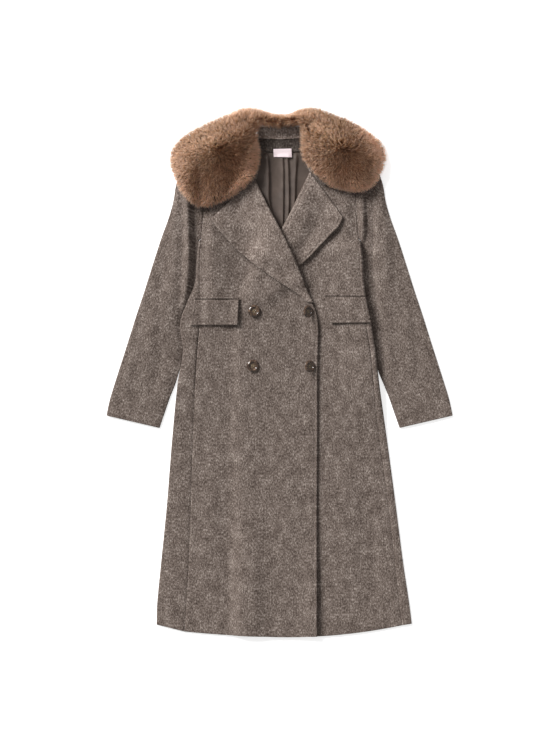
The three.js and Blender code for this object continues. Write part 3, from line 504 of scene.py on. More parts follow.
def satin_material():
    """Brown satin with a soft gloss, and threads too fine to see as more than a grain."""
    material, tree = new_material("brown_satin")
    grain = add_node(tree, "UVMap", uv_map="grain").outputs["UV"]
    threads = add_node(tree, "TexWave", {
        "Vector": grain, "Scale": 420, "Distortion": 1.0}, bands_direction="Y")
    shade = add_node(tree, "TexNoise", {"Vector": grain, "Scale": 30, "Detail": 3})
    value = math_node(tree, "MULTIPLY_ADD", threads.outputs["Fac"], 0.12, shade.outputs["Fac"])
    colour = ramp(tree, value, [(0.35, (0.062, 0.044, 0.035)), (0.75, (0.105, 0.078, 0.064))])
    bump = add_node(tree, "Bump", {"Height": threads.outputs["Fac"], "Strength": 0.15, "Distance": 0.0003})
    show(tree, {
        "Base Color": colour, "Normal": bump.outputs["Normal"], "Roughness": 0.45,
        "Specular IOR Level": 0.3, "Anisotropic": 0.3})
    return material


def pleat(places, path, high, wide):
    """A pleat: the cloth climbs to a line and drops over it."""
    line = line_through(path)(np.linspace(0, 1, 60))[::-1]
    over = places[..., 0] - np.interp(places[..., 1], line[:, 1], line[:, 0])
    climb = np.exp(np.minimum(over, 0) / wide)
    return high * climb * (1 - smoothstep(0, PLEAT_DROP, over))


brown_satin = satin_material()
t, full_rows = stations(LINING_LENGTH, 2 * LINING_STEP, SATIN / 2)
u, full_columns = stations(LINING_WIDTH, LINING_STEP / 2, SATIN / 2)
places = between(column(LINING_ROWS, "right")(t), column(LINING_ROWS, "left")(t), u)
lift = sum(pleat(places, **fold) for fold in LINING_PLEATS)
lift = lift * smoothstep(0, PLEATS_FADE, t)[:, None] * smoothstep(0, PLEATS_FADE, np.minimum(u, 1 - u))
full = np.outer(full_rows, full_columns)
lining, face = cloth("lining_satin", laid(places, SATIN, lift), SATIN * full, brown_satin)
raise_pile(face)
sew_on(lining, "satin", (0.17, 0.19), 0.02, ["coat_back"], "lining", held="gathered")

# Inside the neck a tweed facing follows the seam, with an arm down each side.
# The woven label sewn on it is blank, and its lower corner has come up a little.
NECK_FACING = [
    dict(inner=(-0.058, 0.462), outer=(-0.084, 0.47)),
    dict(inner=(-0.056, 0.49), outer=(-0.082, 0.502)),
    dict(inner=(-0.044, 0.497), outer=(-0.06, 0.524)),
    dict(inner=(-0.02, 0.4965), outer=(-0.022, 0.526)),
    dict(inner=(0, 0.496), outer=(0, 0.526)),
    dict(inner=(0.02, 0.4965), outer=(0.022, 0.526)),
    dict(inner=(0.044, 0.497), outer=(0.06, 0.524)),
    dict(inner=(0.07, 0.49), outer=(0.09, 0.502)),
    dict(inner=(0.086, 0.462), outer=(0.106, 0.47)),
]
NECK_RUN = 0.24
NECK_WIDTH = 0.028
NECK_STEP = 0.004
NECK_PAINTED_SHADE = 0.45
LABEL_HEIGHT = 0.019
LABEL_WIDTH = 0.041
LABEL_STEP = 0.0015
LABEL_CORNERS = [(-0.014, 0.503), (0.027, 0.504), (-0.013, 0.485), (0.028, 0.484)]
LABEL_LIFT = 0.0012

# The neck facing wears a darker copy of the tweed, painted shade for the hollow of the neck.
deep_tweed = tweed("deep_tweed", NECK_PAINTED_SHADE)
inner = column(NECK_FACING, "inner")
outer = column(NECK_FACING, "outer")
parts, full_rows = stations(NECK_RUN, NECK_STEP)
t = evenly(inner, parts)
u, full_columns = stations(NECK_WIDTH, NECK_STEP)
full = np.outer(full_rows, full_columns)
middle = laid(between(inner(t), outer(t), u), WOOL)
neck_facing, face = cloth("neck_facing_cloth", middle, WOOL * full, deep_tweed)
raise_pile(face)
sew_on(neck_facing, "wool", (0.19, 0.066), 0.0066, ["coat_back", "lining_satin"], "neck_facing")


def label_material():
    """Pale pink woven ribbon with a fine rib and a selvedge."""
    material, tree = new_material("pink_ribbon")
    grain = add_node(tree, "UVMap", uv_map="grain").outputs["UV"]
    rib = add_node(tree, "TexWave", {"Vector": grain, "Scale": 520}, bands_direction="Y")
    slub = add_node(tree, "TexNoise", {"Vector": grain, "Scale": 700, "Detail": 2})
    value = math_node(tree, "MULTIPLY_ADD", rib.outputs["Fac"], 0.25, slub.outputs["Fac"])
    colour = ramp(tree, value, [(0.3, (0.62, 0.50, 0.52)), (0.9, (0.86, 0.74, 0.76))])
    bump = add_node(tree, "Bump", {"Height": value, "Strength": 0.3, "Distance": 0.0002})
    show(tree, {"Base Color": colour, "Normal": bump.outputs["Normal"], "Roughness": 0.6})
    return material


def between_corners(corners, t, u):
    """Places inside four corners, which come as top near, top far, low near and low far."""
    top_near, top_far, low_near, low_far = (np.array(corner) for corner in corners)
    return between(blend(top_near, low_near, t[:, None]), blend(top_far, low_far, t[:, None]), u)


t, full_rows = stations(LABEL_HEIGHT, LABEL_STEP, SATIN / 2)
u, full_columns = stations(LABEL_WIDTH, LABEL_STEP, SATIN / 2)
middle = laid(between_corners(LABEL_CORNERS, t, u), SATIN, LABEL_LIFT * np.outer(t ** 2, u ** 3))
full = np.outer(full_rows, full_columns)
label, face = cloth("neck_label_ribbon", middle, SATIN * full, label_material())
raise_pile(face)
sew_on(label, "label", (0.041, 0.019), None, ["neck_facing_cloth"], "neck_label")

# The fronts cross over, the wearer's right one on top. Each ends at the side seam and the armhole.
# A facing backs each front edge. Above the waist it turns back round the roll line as the lapel.
FRONT_LENGTH = 1.14
FRONT_WIDTH = 0.28
FRONT_BRIDGE = 8
LAPEL = 0.0036
LAPEL_LENGTH = 0.34
LAPEL_WIDTH = 0.11
LAPEL_STEP = 0.004
LAPEL_BRIDGE = 6
RIGHT_PUFF = 0.0028
LEFT_PUFF = 0.0006
TUCK_SHARES = [1, 0.8, 0.6, 0.4, 0.25]
ROLL_INSET = 0.006
FACING_TUCK = 0.014
EDGE_LIFT = 0.0020
LAPEL_FREE = (0.175, 0.25)
CLOTH_STEP = 0.006
TIGHT = 0.0004
EDGE_FOLD = 0.012
EDGE_EXTRA = 0.0012
STITCH_INSET = 0.006
SIDE_SLOPE = 0.07
RIGHT_STAND = 0.003
LEFT_STAND = 0.014
RIGHT_LAPEL = [
    dict(roll=(-0.058, 0.44), edge=(-0.154, 0.345)),
    dict(roll=(-0.04, 0.404), edge=(-0.14, 0.325)),
    dict(roll=(-0.018, 0.36), edge=(-0.117, 0.299)),
    dict(roll=(0.005, 0.317), edge=(-0.093, 0.273)),
    dict(roll=(0.023, 0.28), edge=(-0.072, 0.256)),
    dict(roll=(0.039, 0.244), edge=(-0.05, 0.238)),
    dict(roll=(0.053, 0.21), edge=(-0.005, 0.206)),
    dict(roll=(0.065, 0.18), edge=(0.04, 0.177)),
    dict(roll=(0.076, 0.157), edge=(0.062, 0.159)),
]
LEFT_LAPEL = [
    dict(roll=(0.068, 0.451), edge=(0.143, 0.349)),
    dict(roll=(0.052, 0.418), edge=(0.133, 0.329)),
    dict(roll=(0.036, 0.385), edge=(0.113, 0.308)),
    dict(roll=(0.02, 0.352), edge=(0.092, 0.286)),
    dict(roll=(0.003, 0.32), edge=(0.071, 0.263)),
    dict(roll=(-0.014, 0.284), edge=(0.045, 0.24)),
    dict(roll=(-0.032, 0.248), edge=(0.016, 0.217)),
    dict(roll=(-0.048, 0.211), edge=(-0.016, 0.192)),
    dict(roll=(-0.062, 0.178), edge=(-0.044, 0.17)),
]
RIGHT_FRONT_FOLDS = [
    dict(path=[(-0.15, -0.14), (-0.153, -0.30), (-0.158, -0.50)], wide=0.026, high=0.0016),
    dict(path=[(-0.118, -0.20), (-0.116, -0.40), (-0.11, -0.60)], wide=0.022, high=-0.0011),
    dict(path=[(-0.06, -0.26), (-0.062, -0.42), (-0.058, -0.62)], wide=0.030, high=0.0014),
    dict(path=[(0.02, -0.10), (0.024, -0.30), (0.018, -0.50)], wide=0.024, high=0.0010),
    dict(path=[(-0.160, 0.46), (-0.158, 0.34), (-0.154, 0.24), (-0.150, 0.16), (-0.14, 0.08)],
         wide=0.036, high=0.0075),
    dict(path=[(-0.060, 0.20), (-0.020, 0.15), (0.020, 0.08)], wide=0.034, high=0.0016),
    dict(path=[(-0.12, 0.09), (-0.06, 0.05), (0.00, 0.06), (0.05, 0.03)], wide=0.022, high=0.0008),
    dict(path=[(0.075, 0.013), (0.045, 0.016), (0.020, 0.010)], wide=0.006, high=-0.0012),
    dict(path=[(-0.100, 0.32), (-0.075, 0.25), (-0.05, 0.19), (-0.02, 0.13)], wide=0.020, high=-0.0016),
]
LEFT_FRONT_FOLDS = [
    dict(path=[(0.14, -0.18), (0.15, -0.36), (0.165, -0.56)], wide=0.028, high=0.0016),
    dict(path=[(0.19, -0.22), (0.205, -0.40), (0.22, -0.60)], wide=0.022, high=-0.0012),
    dict(path=[(0.11, -0.02), (0.112, -0.12), (0.11, -0.24)], wide=0.018, high=-0.0009),
    dict(path=[(0.120, 0.46), (0.112, 0.34), (0.105, 0.24), (0.10, 0.16)], wide=0.030, high=-0.0012),
    dict(path=[(0.150, 0.44), (0.152, 0.34), (0.150, 0.26)], wide=0.014, high=0.0022),
]


def side_stand(high, y):
    """How far a side stands up beside its sleeve."""
    return high * smoothstep(-0.16, -0.02, y) * (1 - smoothstep(0.27, 0.31, y))


def front_panel(name, half, inward, stand, folds):
    """A front, from its side seam to its edge. Its free edge is folded over, so it is fuller there."""
    seam = column(half, "seam")
    edge = column(half, "front")
    parts, full_rows = stations(FRONT_LENGTH, CLOTH_STEP)
    t = evenly(edge, parts)
    u, full_columns = stations(FRONT_WIDTH, CLOTH_STEP, WOOL / 2, STITCH_INSET, first_edge=TIGHT)
    near = seam(t)
    far = edge(t)
    rolled = number(half, "roll", t)
    far[:, 0] -= inward * ROLL_INSET * rolled
    width = np.linalg.norm(far - near, axis=1)
    places = between(near, far, u)
    places[..., 1] -= np.outer(number(half, "bow", t) * 4, u * (1 - u))
    from_edge = np.outer(width, 1 - u)
    from_seam = np.outer(width, u)
    curl = 0.0012 + 0.0055 * (1 - smoothstep(-0.55, -0.28, places[..., 1]))
    lift = LOFT + 0.0012 * np.sin(np.pi * u)
    folded = sum(soft_fold(places, **fold) for fold in folds)
    lift = lift + folded * smoothstep(0, 0.14, np.minimum(u, 1.08 - u))
    lift = lift + side_stand(stand, places[..., 1]) * np.exp(-((from_seam / SIDE_SLOPE) ** 2))
    lift = np.maximum(lift, 0.0003) + curl * np.exp(-((from_edge / 0.03) ** 2)) * (1 - rolled[:, None])
    doubled = (1 - rolled[:, None]) * (1 - smoothstep(EDGE_FOLD - 0.003, EDGE_FOLD, from_edge))
    thickness = (WOOL + EDGE_EXTRA * doubled) * np.outer(full_rows, full_columns)
    piece, face = cloth(name, laid(places, WOOL, lift, bridge=FRONT_BRIDGE), thickness, wool_tweed)
    raise_pile(face)
    return piece, face


def lapel_lines(table, t):
    """The roll line and the free edge of a lapel, and the way and distance between them."""
    roll = column(table, "roll")(t)
    edge = column(table, "edge")(t)
    width = np.linalg.norm(edge - roll, axis=1)
    return roll, edge, (edge - roll) / width[:, None], width


def facing_tuck(table, t):
    """The part of a facing that lies under its front, which is laid before the front is."""
    roll, _, inward, width = lapel_lines(table, t)
    tuck = np.minimum(FACING_TUCK, width)
    places = roll[:, None] + inward[:, None] * (tuck[:, None] * np.array(TUCK_SHARES))[..., None]
    middle = laid(places, WOOL)
    raise_pile(middle + np.array([0, 0, WOOL / 2]))
    return middle


def facing(name, table, t, tuck_rows, full_rows, puff):
    """The facing turns round the roll line, stands a little full there and lies down as the lapel."""
    roll, edge, inward, width = lapel_lines(table, t)
    reach = np.minimum(FACING_TUCK, width) * TUCK_SHARES[-1]
    start = roll + inward * reach[:, None]
    share, full_columns = stations(LAPEL_WIDTH, LAPEL_STEP, LAPEL / 2, STITCH_INSET)
    share = share[3:]
    places = between(start, edge, share)
    away = np.outer(width, share)
    lift = puff * np.exp(-((away / 0.028) ** 2)) * smoothstep(0.02, 0.07, width)[:, None]
    free = smoothstep(*LAPEL_FREE, edge[:, 1])
    lift = lift + EDGE_LIFT * np.outer(free * (1 + np.sin(np.pi * t * 3.1) ** 2), share ** 3)
    flat = laid(places, LAPEL, lift, bridge=LAPEL_BRIDGE)
    low = tuck_rows[:, -1]
    turns = np.linspace(0, np.pi, 10)[1:-1]
    middle_z = (low[:, 2] + flat[:, 0, 2]) / 2
    radius_z = (flat[:, 0, 2] - low[:, 2]) / 2
    out = reach[:, None] - (reach - WOOL / 2)[:, None] * np.sin(turns)
    turn_places = roll[:, None] + inward[:, None] * out[..., None]
    turn = np.dstack([turn_places, middle_z[:, None] - radius_z[:, None] * np.cos(turns)])
    middle = np.concatenate([tuck_rows, turn, flat], axis=1)
    thickness = np.full(middle.shape[1], WOOL)
    thickness[-len(share):] = blend(WOOL, LAPEL, smoothstep(0, 0.12, share)) * full_columns[3:]
    thickness[0] *= 0.5
    piece, face = cloth(name, middle, np.outer(full_rows, thickness), lapel_tweed)
    raise_pile(face[:, -len(share):])
    return piece, face


def front_with_lapel(side, half, inward, stand, folds, lapel, puff):
    """A front and its facing. The part of the facing under the front comes first, and the lapel last."""
    parts, full_rows = stations(LAPEL_LENGTH, LAPEL_STEP)
    t = evenly(column(lapel, "edge"), parts)
    tuck_rows = facing_tuck(lapel, t)
    front = front_panel("front_" + side + "_cloth", half, inward, stand, folds)
    turned_back = facing("facing_" + side + "_cloth", lapel, t, tuck_rows, full_rows, puff)
    return *front, *turned_back


front_left, left_face, facing_left, left_lapel_face = front_with_lapel(
    "left", LEFT_HALF, -1, LEFT_STAND, LEFT_FRONT_FOLDS, LEFT_LAPEL, LEFT_PUFF)
front_right, right_face, facing_right, right_lapel_face = front_with_lapel(
    "right", RIGHT_HALF, 1, RIGHT_STAND, RIGHT_FRONT_FOLDS, RIGHT_LAPEL, RIGHT_PUFF)
sew_on(front_left, "wool", (0.36, 1.14), 0.33, ["coat_back"], "front_left")
sew_on(front_right, "wool", (0.30, 1.14), 0.30, ["front_left_cloth"], "front_right")
sew_on(facing_left, "wool", (0.16, 0.35), 0.037, ["front_left_cloth"], "facing_left", held="folded")
sew_on(facing_right, "wool", (0.16, 0.38), 0.037, ["front_right_cloth"], "facing_right", held="folded")

# A side panel runs from the front seam round the coat's fold to the back. It is one strip of tweed.
# The pocket opens in the front seam, under the flap, where the two cloths stand a little apart.
SIDE_LENGTH = 0.87
SIDE_WIDTH = 0.045
POCKET_TOP = 0.109
POCKET_FOOT = -0.03
POCKET_GAP = 0.0012
SEAM_GAP = 0.00005


def side_panel(name, half, inward, stand):
    """A side panel, its lower leg on the surface and its upper leg level with the front."""
    seam = column(half, "seam")
    parts, full_rows = stations(SIDE_LENGTH, CLOTH_STEP)
    fold = fold_line(half)
    t = evenly(fold, parts)
    on_fold = fold(t)
    on_seam = seam(t * UNDERARM_ROW / HALF_ROWS)
    flat_z = WOOL + GAP + LOFT + WOOL / 2
    radius = (flat_z - WOOL / 2) / 2
    reach = radius + WOOL / 2
    rows = len(t)
    top_z = flat_z + side_stand(stand, on_fold[:, 1:])
    turns = np.linspace(0, np.pi, 9)[1:-1]
    parts_under = np.array([SIDE_UNDERLAP - 2 * GAP, 0.024, 0.018, 0.012, 0.007, reach])
    under_x = on_fold[:, :1] + inward * parts_under
    turn_x = on_fold[:, :1] + inward * (reach - radius * np.sin(turns))
    open_pocket = smoothstep(POCKET_FOOT - 0.02, POCKET_FOOT + 0.01, on_fold[:, 1])
    open_pocket *= 1 - smoothstep(POCKET_TOP - 0.01, POCKET_TOP + 0.01, on_fold[:, 1])
    end = on_seam.copy()
    end[:, 0] -= inward * (2 * SEAM_GAP + POCKET_GAP * open_pocket)
    u, full_columns = stations(SIDE_WIDTH, CLOTH_STEP, TIGHT)
    start = on_fold + np.array([inward * reach, 0])
    leg = between(start, end, u[3:])
    swell = 0.0010 * np.sin(np.pi * u[3:]) - 0.0008 * np.outer(open_pocket, u[3:] ** 6)
    upper = np.dstack([leg, top_z + np.broadcast_to(swell, leg.shape[:2])])

    def strip(x, z):
        return np.dstack([x, np.broadcast_to(on_fold[:, 1:], x.shape), np.broadcast_to(z, x.shape)])

    lower = strip(under_x, np.full((rows, 1), WOOL / 2))
    turn = strip(turn_x, WOOL / 2 + (top_z - WOOL / 2) / 2 * (1 - np.cos(turns)))
    middle = np.concatenate([lower, turn, upper], axis=1)
    thickness = np.full(middle.shape[1], WOOL)
    thickness[-len(u[3:]):] *= full_columns[3:]
    piece, _ = cloth(name, middle, np.outer(full_rows, thickness), wool_tweed)
    raise_pile(upper + np.array([0, 0, WOOL / 2]))
    return piece


side_right = side_panel("side_right_cloth", RIGHT_HALF, 1, RIGHT_STAND)
side_left = side_panel("side_left_cloth", LEFT_HALF, -1, LEFT_STAND)
sew_on(side_right, "wool", (0.10, 0.87), 0.07, ["table"], "side_right", held="folded")
sew_on(side_left, "wool", (0.06, 0.87), 0.045, ["table"], "side_left", held="folded")

# Each pocket has a flap of two cloths, sewn on along its top and topstitched round its free edges.
# The flap's inner end stands off the front, so that it throws a shadow.
FLAP = 0.0032
FLAP_HEIGHT = 0.063
FLAP_WIDTH = 0.1
FLAP_STEP = 0.003
WELT = 0.0020
RIGHT_FLAP_STAND = 0.0055
LEFT_FLAP_STAND = 0.002
RIGHT_FLAP = [(-0.191, 0.169), (-0.091, 0.169), (-0.201, 0.106), (-0.094, 0.107)]
LEFT_FLAP = [(0.192, 0.175), (0.101, 0.176), (0.206, 0.112), (0.114, 0.111)]


def pocket_flap(name, corners, stand):
    """A flap from its corners: top outer, top inner, low outer and low inner."""
    t, full_rows = stations(FLAP_HEIGHT, FLAP_STEP, FLAP / 2, STITCH_INSET)
    u, full_columns = stations(FLAP_WIDTH, FLAP_STEP, FLAP / 2, STITCH_INSET)
    places = between_corners(corners, t, u)
    lift = stand * np.outer(smoothstep(-0.3, 0.7, t), smoothstep(0.45, 1, u)) + 0.0008
    from_top = t[:, None] * FLAP_HEIGHT
    ridge = np.exp(-((from_top / 0.0022) ** 2))
    groove = np.exp(-(((from_top - 0.0052) / 0.002) ** 2))
    lift = lift + WELT * (ridge - 0.5 * groove)
    piece, face = cloth(name, laid(places, FLAP, lift), FLAP * np.outer(full_rows, full_columns), wool_tweed)
    raise_pile(face)
    return piece, face


flap_right, flap_right_face = pocket_flap("flap_right_cloth", RIGHT_FLAP, RIGHT_FLAP_STAND)
flap_left, flap_left_face = pocket_flap("flap_left_cloth", LEFT_FLAP, LEFT_FLAP_STAND)
sew_on(flap_right, "wool", (0.11, 0.065), None, ["front_right_cloth"], "flap_right")
sew_on(flap_left, "wool", (0.095, 0.065), None, ["front_left_cloth"], "flap_left")

# The lapels, the front edge, the flaps and the wearer's left side seam are topstitched near their edges.
# Each stitch is a short twist of brown thread that has sunk into the cloth.
STITCH_LENGTH = 0.0030
STITCH_RADIUS = 0.00042
STITCH_SPACING = 0.0042
STITCH_COLUMN = 5
FRONT_STITCH_TOP = 0.15
SIDE_STITCH_TOP = 0.10


def new_nodes(name, **inputs):
    """A geometry node tree with a geometry and these inputs, and its inputs' sockets."""
    tree = bpy.data.node_groups.new(name, "GeometryNodeTree")
    tree.interface.new_socket("Geometry", in_out="INPUT", socket_type="NodeSocketGeometry")
    for label, kind in inputs.items():
        tree.interface.new_socket(label, in_out="INPUT", socket_type="NodeSocket" + kind)
    tree.interface.new_socket("Geometry", in_out="OUTPUT", socket_type="NodeSocketGeometry")
    return tree, tree.nodes.new("NodeGroupInput").outputs


def end_nodes(tree, instances, material):
    """The instances become a real mesh of this material, and that is the tree's result."""
    real = add_node(tree, "GeometryNodeRealizeInstances", {"Geometry": instances})
    dress = add_node(tree, "GeometryNodeSetMaterial", {
        "Geometry": real.outputs["Geometry"], "Material": material})
    add_node(tree, "NodeGroupOutput", {"Geometry": dress.outputs["Geometry"]})


def run_nodes(piece, tree, inputs):
    """The piece as its nodes make it, a plain mesh with no modifier left."""
    modifier = piece.modifiers.new("nodes", "NODES")
    modifier.node_group = tree
    sockets = {item.name: item.identifier for item in tree.interface.items_tree if item.in_out == "INPUT"}
    for name, value in inputs.items():
        modifier[sockets[name]] = value
    bpy.context.view_layer.update()
    made = bpy.data.meshes.new_from_object(piece.evaluated_get(bpy.context.evaluated_depsgraph_get()))
    piece.modifiers.clear()
    piece.data = made
    made.name = piece.name


def sew_tree(name, material):
    """Geometry nodes that set stitches along each line of a mesh."""
    tree, start = new_nodes(name, Stitch="Object", Spacing="Float")
    seam = add_node(tree, "GeometryNodeMeshToCurve", {"Mesh": start["Geometry"]})
    places = add_node(tree, "GeometryNodeCurveToPoints", {
        "Curve": seam.outputs["Curve"], "Length": start["Spacing"]}, mode="LENGTH")
    align = add_node(tree, "FunctionNodeAlignRotationToVector", {
        "Vector": places.outputs["Tangent"]}, axis="X")
    shape = add_node(tree, "GeometryNodeObjectInfo", {"Object": start["Stitch"]})
    sewn = add_node(tree, "GeometryNodeInstanceOnPoints", {
        "Points": places.outputs["Points"], "Instance": shape.outputs["Geometry"],
        "Rotation": align.outputs["Rotation"]})
    end_nodes(tree, sewn.outputs["Instances"], material)
    return tree


def twisted(name, dark, pale, slant=40, scale=900, strength=0.5, depth=0.0002, roughness=0.6):
    """Thread or cord whose strands wind round it, in a dark and a pale tone."""
    material, tree = new_material(name)
    place = add_node(tree, "TexCoord").outputs["Object"]
    turned = add_node(tree, "Mapping", {"Vector": place, "Rotation": (0, 0, math.radians(slant))})
    twist = add_node(tree, "TexWave", {"Vector": turned.outputs["Vector"], "Scale": scale})
    colour = ramp(tree, twist.outputs["Fac"], [(0.1, dark), (0.9, pale)])
    bump = add_node(tree, "Bump", {"Height": twist.outputs["Fac"], "Strength": strength, "Distance": depth})
    show(tree, {"Base Color": colour, "Normal": bump.outputs["Normal"], "Roughness": roughness})
    return material


def spindle(name, length, radius):
    """A small six-sided object along X that narrows to both ends."""
    angle = np.arange(6) * np.pi / 3
    points = [(-length / 2, 0, 0)]
    for x, full in ((-0.36, 0.75), (0, 1), (0.36, 0.75)):
        points += [(x * length, radius * full * math.cos(a), radius * full * math.sin(a)) for a in angle]
    points.append((length / 2, 0, 0))
    faces = []
    for k in range(6):
        n = (k + 1) % 6
        faces += [(0, 1 + n, 1 + k), (1 + k, 1 + n, 7 + n, 7 + k)]
        faces += [(7 + k, 7 + n, 13 + n, 13 + k), (13 + k, 13 + n, 19)]
    mesh = bpy.data.meshes.new(name)
    mesh.from_pydata(points, [], faces)
    mesh.shade_smooth()
    return bpy.data.objects.new(name, mesh)


def flap_line(face):
    """The stitched line of a flap: down its outer end, along its foot and up its inner end."""
    k = STITCH_COLUMN
    return np.vstack([face[k:-k - 1, k], face[-k - 1, k:-k - 1], face[k:-k, -k - 1][::-1]])


front_edge = right_face[:, -STITCH_COLUMN - 1]
side_edge = left_face[:, STITCH_COLUMN]
stitched_lines = [
    left_lapel_face[:, -STITCH_COLUMN - 1],
    right_lapel_face[:, -STITCH_COLUMN - 1],
    front_edge[front_edge[:, 1] < FRONT_STITCH_TOP],
    side_edge[side_edge[:, 1] < SIDE_STITCH_TOP],
    flap_line(flap_right_face),
    flap_line(flap_left_face),
]
line_points = np.vstack(stitched_lines)
ends = np.cumsum([len(line) for line in stitched_lines])
joins = [(k, k + 1) for k in range(len(line_points) - 1) if k + 1 not in ends]
line_mesh = bpy.data.meshes.new("topstitching")
line_mesh.from_pydata(line_points, joins, [])
topstitching = put("topstitching", line_mesh)
stitch = spindle("stitch", STITCH_LENGTH, STITCH_RADIUS)
brown_thread = twisted("brown_thread", (0.085, 0.064, 0.052), (0.21, 0.165, 0.138))
sew = sew_tree("sew_topstitching", brown_thread)
run_nodes(topstitching, sew, {"Stitch": stitch, "Spacing": STITCH_SPACING})
bpy.data.objects.remove(stitch)
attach(topstitching, "root")

# Four big buttons are turned from brown horn, with a polished rim and four shallow holes in a dished middle.
# Tan thread is sewn through the holes in two bars. The two near the front edge lean with the cloth.
BUTTON_RADIUS = 0.0138
BUTTON_HEIGHT = 0.0046
BUTTON_RINGS = 52
BUTTON_SPOKES = 72
HOLES = 4
HOLE_RADIUS = 0.0013
HOLE_PLACE = 0.0030
HOLE_DEPTH = 0.0014
THREAD_WIDTH = 0.00085
THREAD_DEPTH = 0.0005
THREAD_RISE = 0.0004
THREAD_FOOT = -0.0010
BUTTON_PROFILE = [
    dict(at=(0, 0.50)),
    dict(at=(0.42, 0.50)),
    dict(at=(0.54, 0.56)),
    dict(at=(0.60, 0.78)),
    dict(at=(0.66, 0.95)),
    dict(at=(0.72, 1.0)),
    dict(at=(0.80, 0.95)),
    dict(at=(0.88, 0.81)),
    dict(at=(0.95, 0.60)),
    dict(at=(1.0, 0.44)),
    dict(at=(0.97, 0.38)),
    dict(at=(0.88, 0.14)),
    dict(at=(0.74, 0.02)),
    dict(at=(0.3, 0)),
    dict(at=(0, 0)),
]
BUTTONS = [
    dict(node="button_upper_right", place=(-0.057, 0.138), lean=8, turn=20),
    dict(node="button_upper_left", place=(0.063, 0.137), lean=38, turn=50),
    dict(node="button_lower_right", place=(-0.06, 0.015), lean=8, turn=65),
    dict(node="button_lower_left", place=(0.067, 0.014), lean=34, turn=10),
]


def horn_material():
    """Brown horn: smoky streaks, paler and yellower in the middle, under a clear polish."""
    material, tree = new_material("brown_horn")
    grain = add_node(tree, "UVMap", uv_map="grain").outputs["UV"]
    streaks = add_node(tree, "TexNoise", {"Vector": grain, "Scale": 160, "Detail": 4, "Distortion": 1.5})
    colour = ramp(tree, streaks.outputs["Fac"], [
        (0.30, (0.016, 0.008, 0.005)), (0.50, (0.065, 0.037, 0.023)), (0.75, (0.19, 0.12, 0.08))])
    middle = add_node(tree, "Attribute", attribute_name="middle").outputs["Fac"]
    # A Mix node's sockets for colours go by number: 6 and 7 are mixed, and 2 is the result
    warm = add_node(tree, "Mix", {"Factor": middle, 6: colour, 7: (0.17, 0.115, 0.065, 1)}, data_type="RGBA")
    bump = add_node(tree, "Bump", {"Height": streaks.outputs["Fac"], "Strength": 0.1, "Distance": 0.0002})
    show(tree, {
        "Base Color": warm.outputs[2], "Normal": bump.outputs["Normal"], "Roughness": 0.2,
        "Coat Weight": 0.6, "Coat Roughness": 0.08})
    return material


brown_horn = horn_material()


def leant(x, y, z, lean):
    """Points that lean over to the wearer's left by some degrees."""
    cosine = math.cos(math.radians(lean))
    sine = math.sin(math.radians(lean))
    return np.stack([x * cosine + z * sine, y, z * cosine - x * sine], axis=-1)


def ring_faces(rings, spokes, first=0):
    """Faces of a closed form of rings that run anticlockwise, seen from the last one. They point outwards."""
    index = first + np.arange(rings * spokes).reshape(rings, spokes)
    turned = np.roll(index, -1, axis=1)
    sides = np.stack([index[:-1], turned[:-1], turned[1:], index[1:]], axis=-1).reshape(-1, 4)
    return [*sides.tolist(), index[0, ::-1].tolist(), index[-1].tolist()]


def thread_bars(turn):
    """Points of two bars of thread on a level button, in rings. Each passes from one hole to the next."""
    bars = []
    angle = np.arange(8) * np.pi / 4
    part = np.linspace(-1, 1, 13)
    for first in (45, 225):
        ends = [math.radians(turn + first + more) for more in (0, 90)]
        start, end = (HOLE_PLACE * np.array([math.cos(a), math.sin(a)]) for a in ends)
        along = (end - start) / np.linalg.norm(end - start)
        middle = (start + end) / 2 + np.outer(part, end - start) / 2
        x = middle[:, :1] - along[1] * THREAD_WIDTH * np.cos(angle)
        y = middle[:, 1:] + along[0] * THREAD_WIDTH * np.cos(angle)
        rise = THREAD_RISE + (THREAD_FOOT - THREAD_RISE) * part ** 4
        z = BUTTON_HEIGHT / 2 + rise[:, None] + THREAD_DEPTH * np.sin(angle)
        bars.append((x, y, z))
    return bars


def button(node, place, lean, turn):
    """A button on the pile at its place, leaning towards the wearer's left by some degrees."""
    profile = column(BUTTON_PROFILE, "at")(np.linspace(1, 0, BUTTON_RINGS))
    angle = np.linspace(0, 2 * np.pi, BUTTON_SPOKES, endpoint=False) + math.radians(turn)
    radius = np.maximum(profile[:, :1], 0.004) * BUTTON_RADIUS
    x = radius * np.cos(angle)
    y = radius * np.sin(angle)
    z = np.broadcast_to(profile[:, 1:], x.shape) * BUTTON_HEIGHT
    on_top = profile[:, 1:] > 0.3
    for k in range(HOLES):
        at = math.radians(turn + 45 + 90 * k)
        away = np.hypot(x - HOLE_PLACE * math.cos(at), y - HOLE_PLACE * math.sin(at))
        z = z - HOLE_DEPTH * (1 - smoothstep(HOLE_RADIUS - 0.0004, HOLE_RADIUS + 0.0002, away)) * on_top
    points = leant(x, y, z, lean)
    here = points[..., :2] + np.array(place)
    seat = (height_at(pile, here) - points[..., 2]).max() + GAP
    points = points + np.array([*place, seat])
    mesh = bpy.data.meshes.new(node + "_horn")
    mesh.from_pydata(points.reshape(-1, 3), [], ring_faces(BUTTON_RINGS, BUTTON_SPOKES))
    mesh.shade_smooth()
    mesh.materials.append(brown_horn)
    middle = np.repeat((1 - smoothstep(0.22, 0.5, profile[:, 0])) * on_top[:, 0], BUTTON_SPOKES)
    mesh.attributes.new("middle", "FLOAT", "POINT").data.foreach_set("value", middle * 0.8)
    lay_weave(mesh, x.ravel() + place[0], y.ravel() + place[1])
    piece = put(node + "_horn", mesh)
    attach(piece, "root")
    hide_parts(node)
    return [leant(*bar, lean) + np.array([*place, seat]) for bar in thread_bars(turn)]


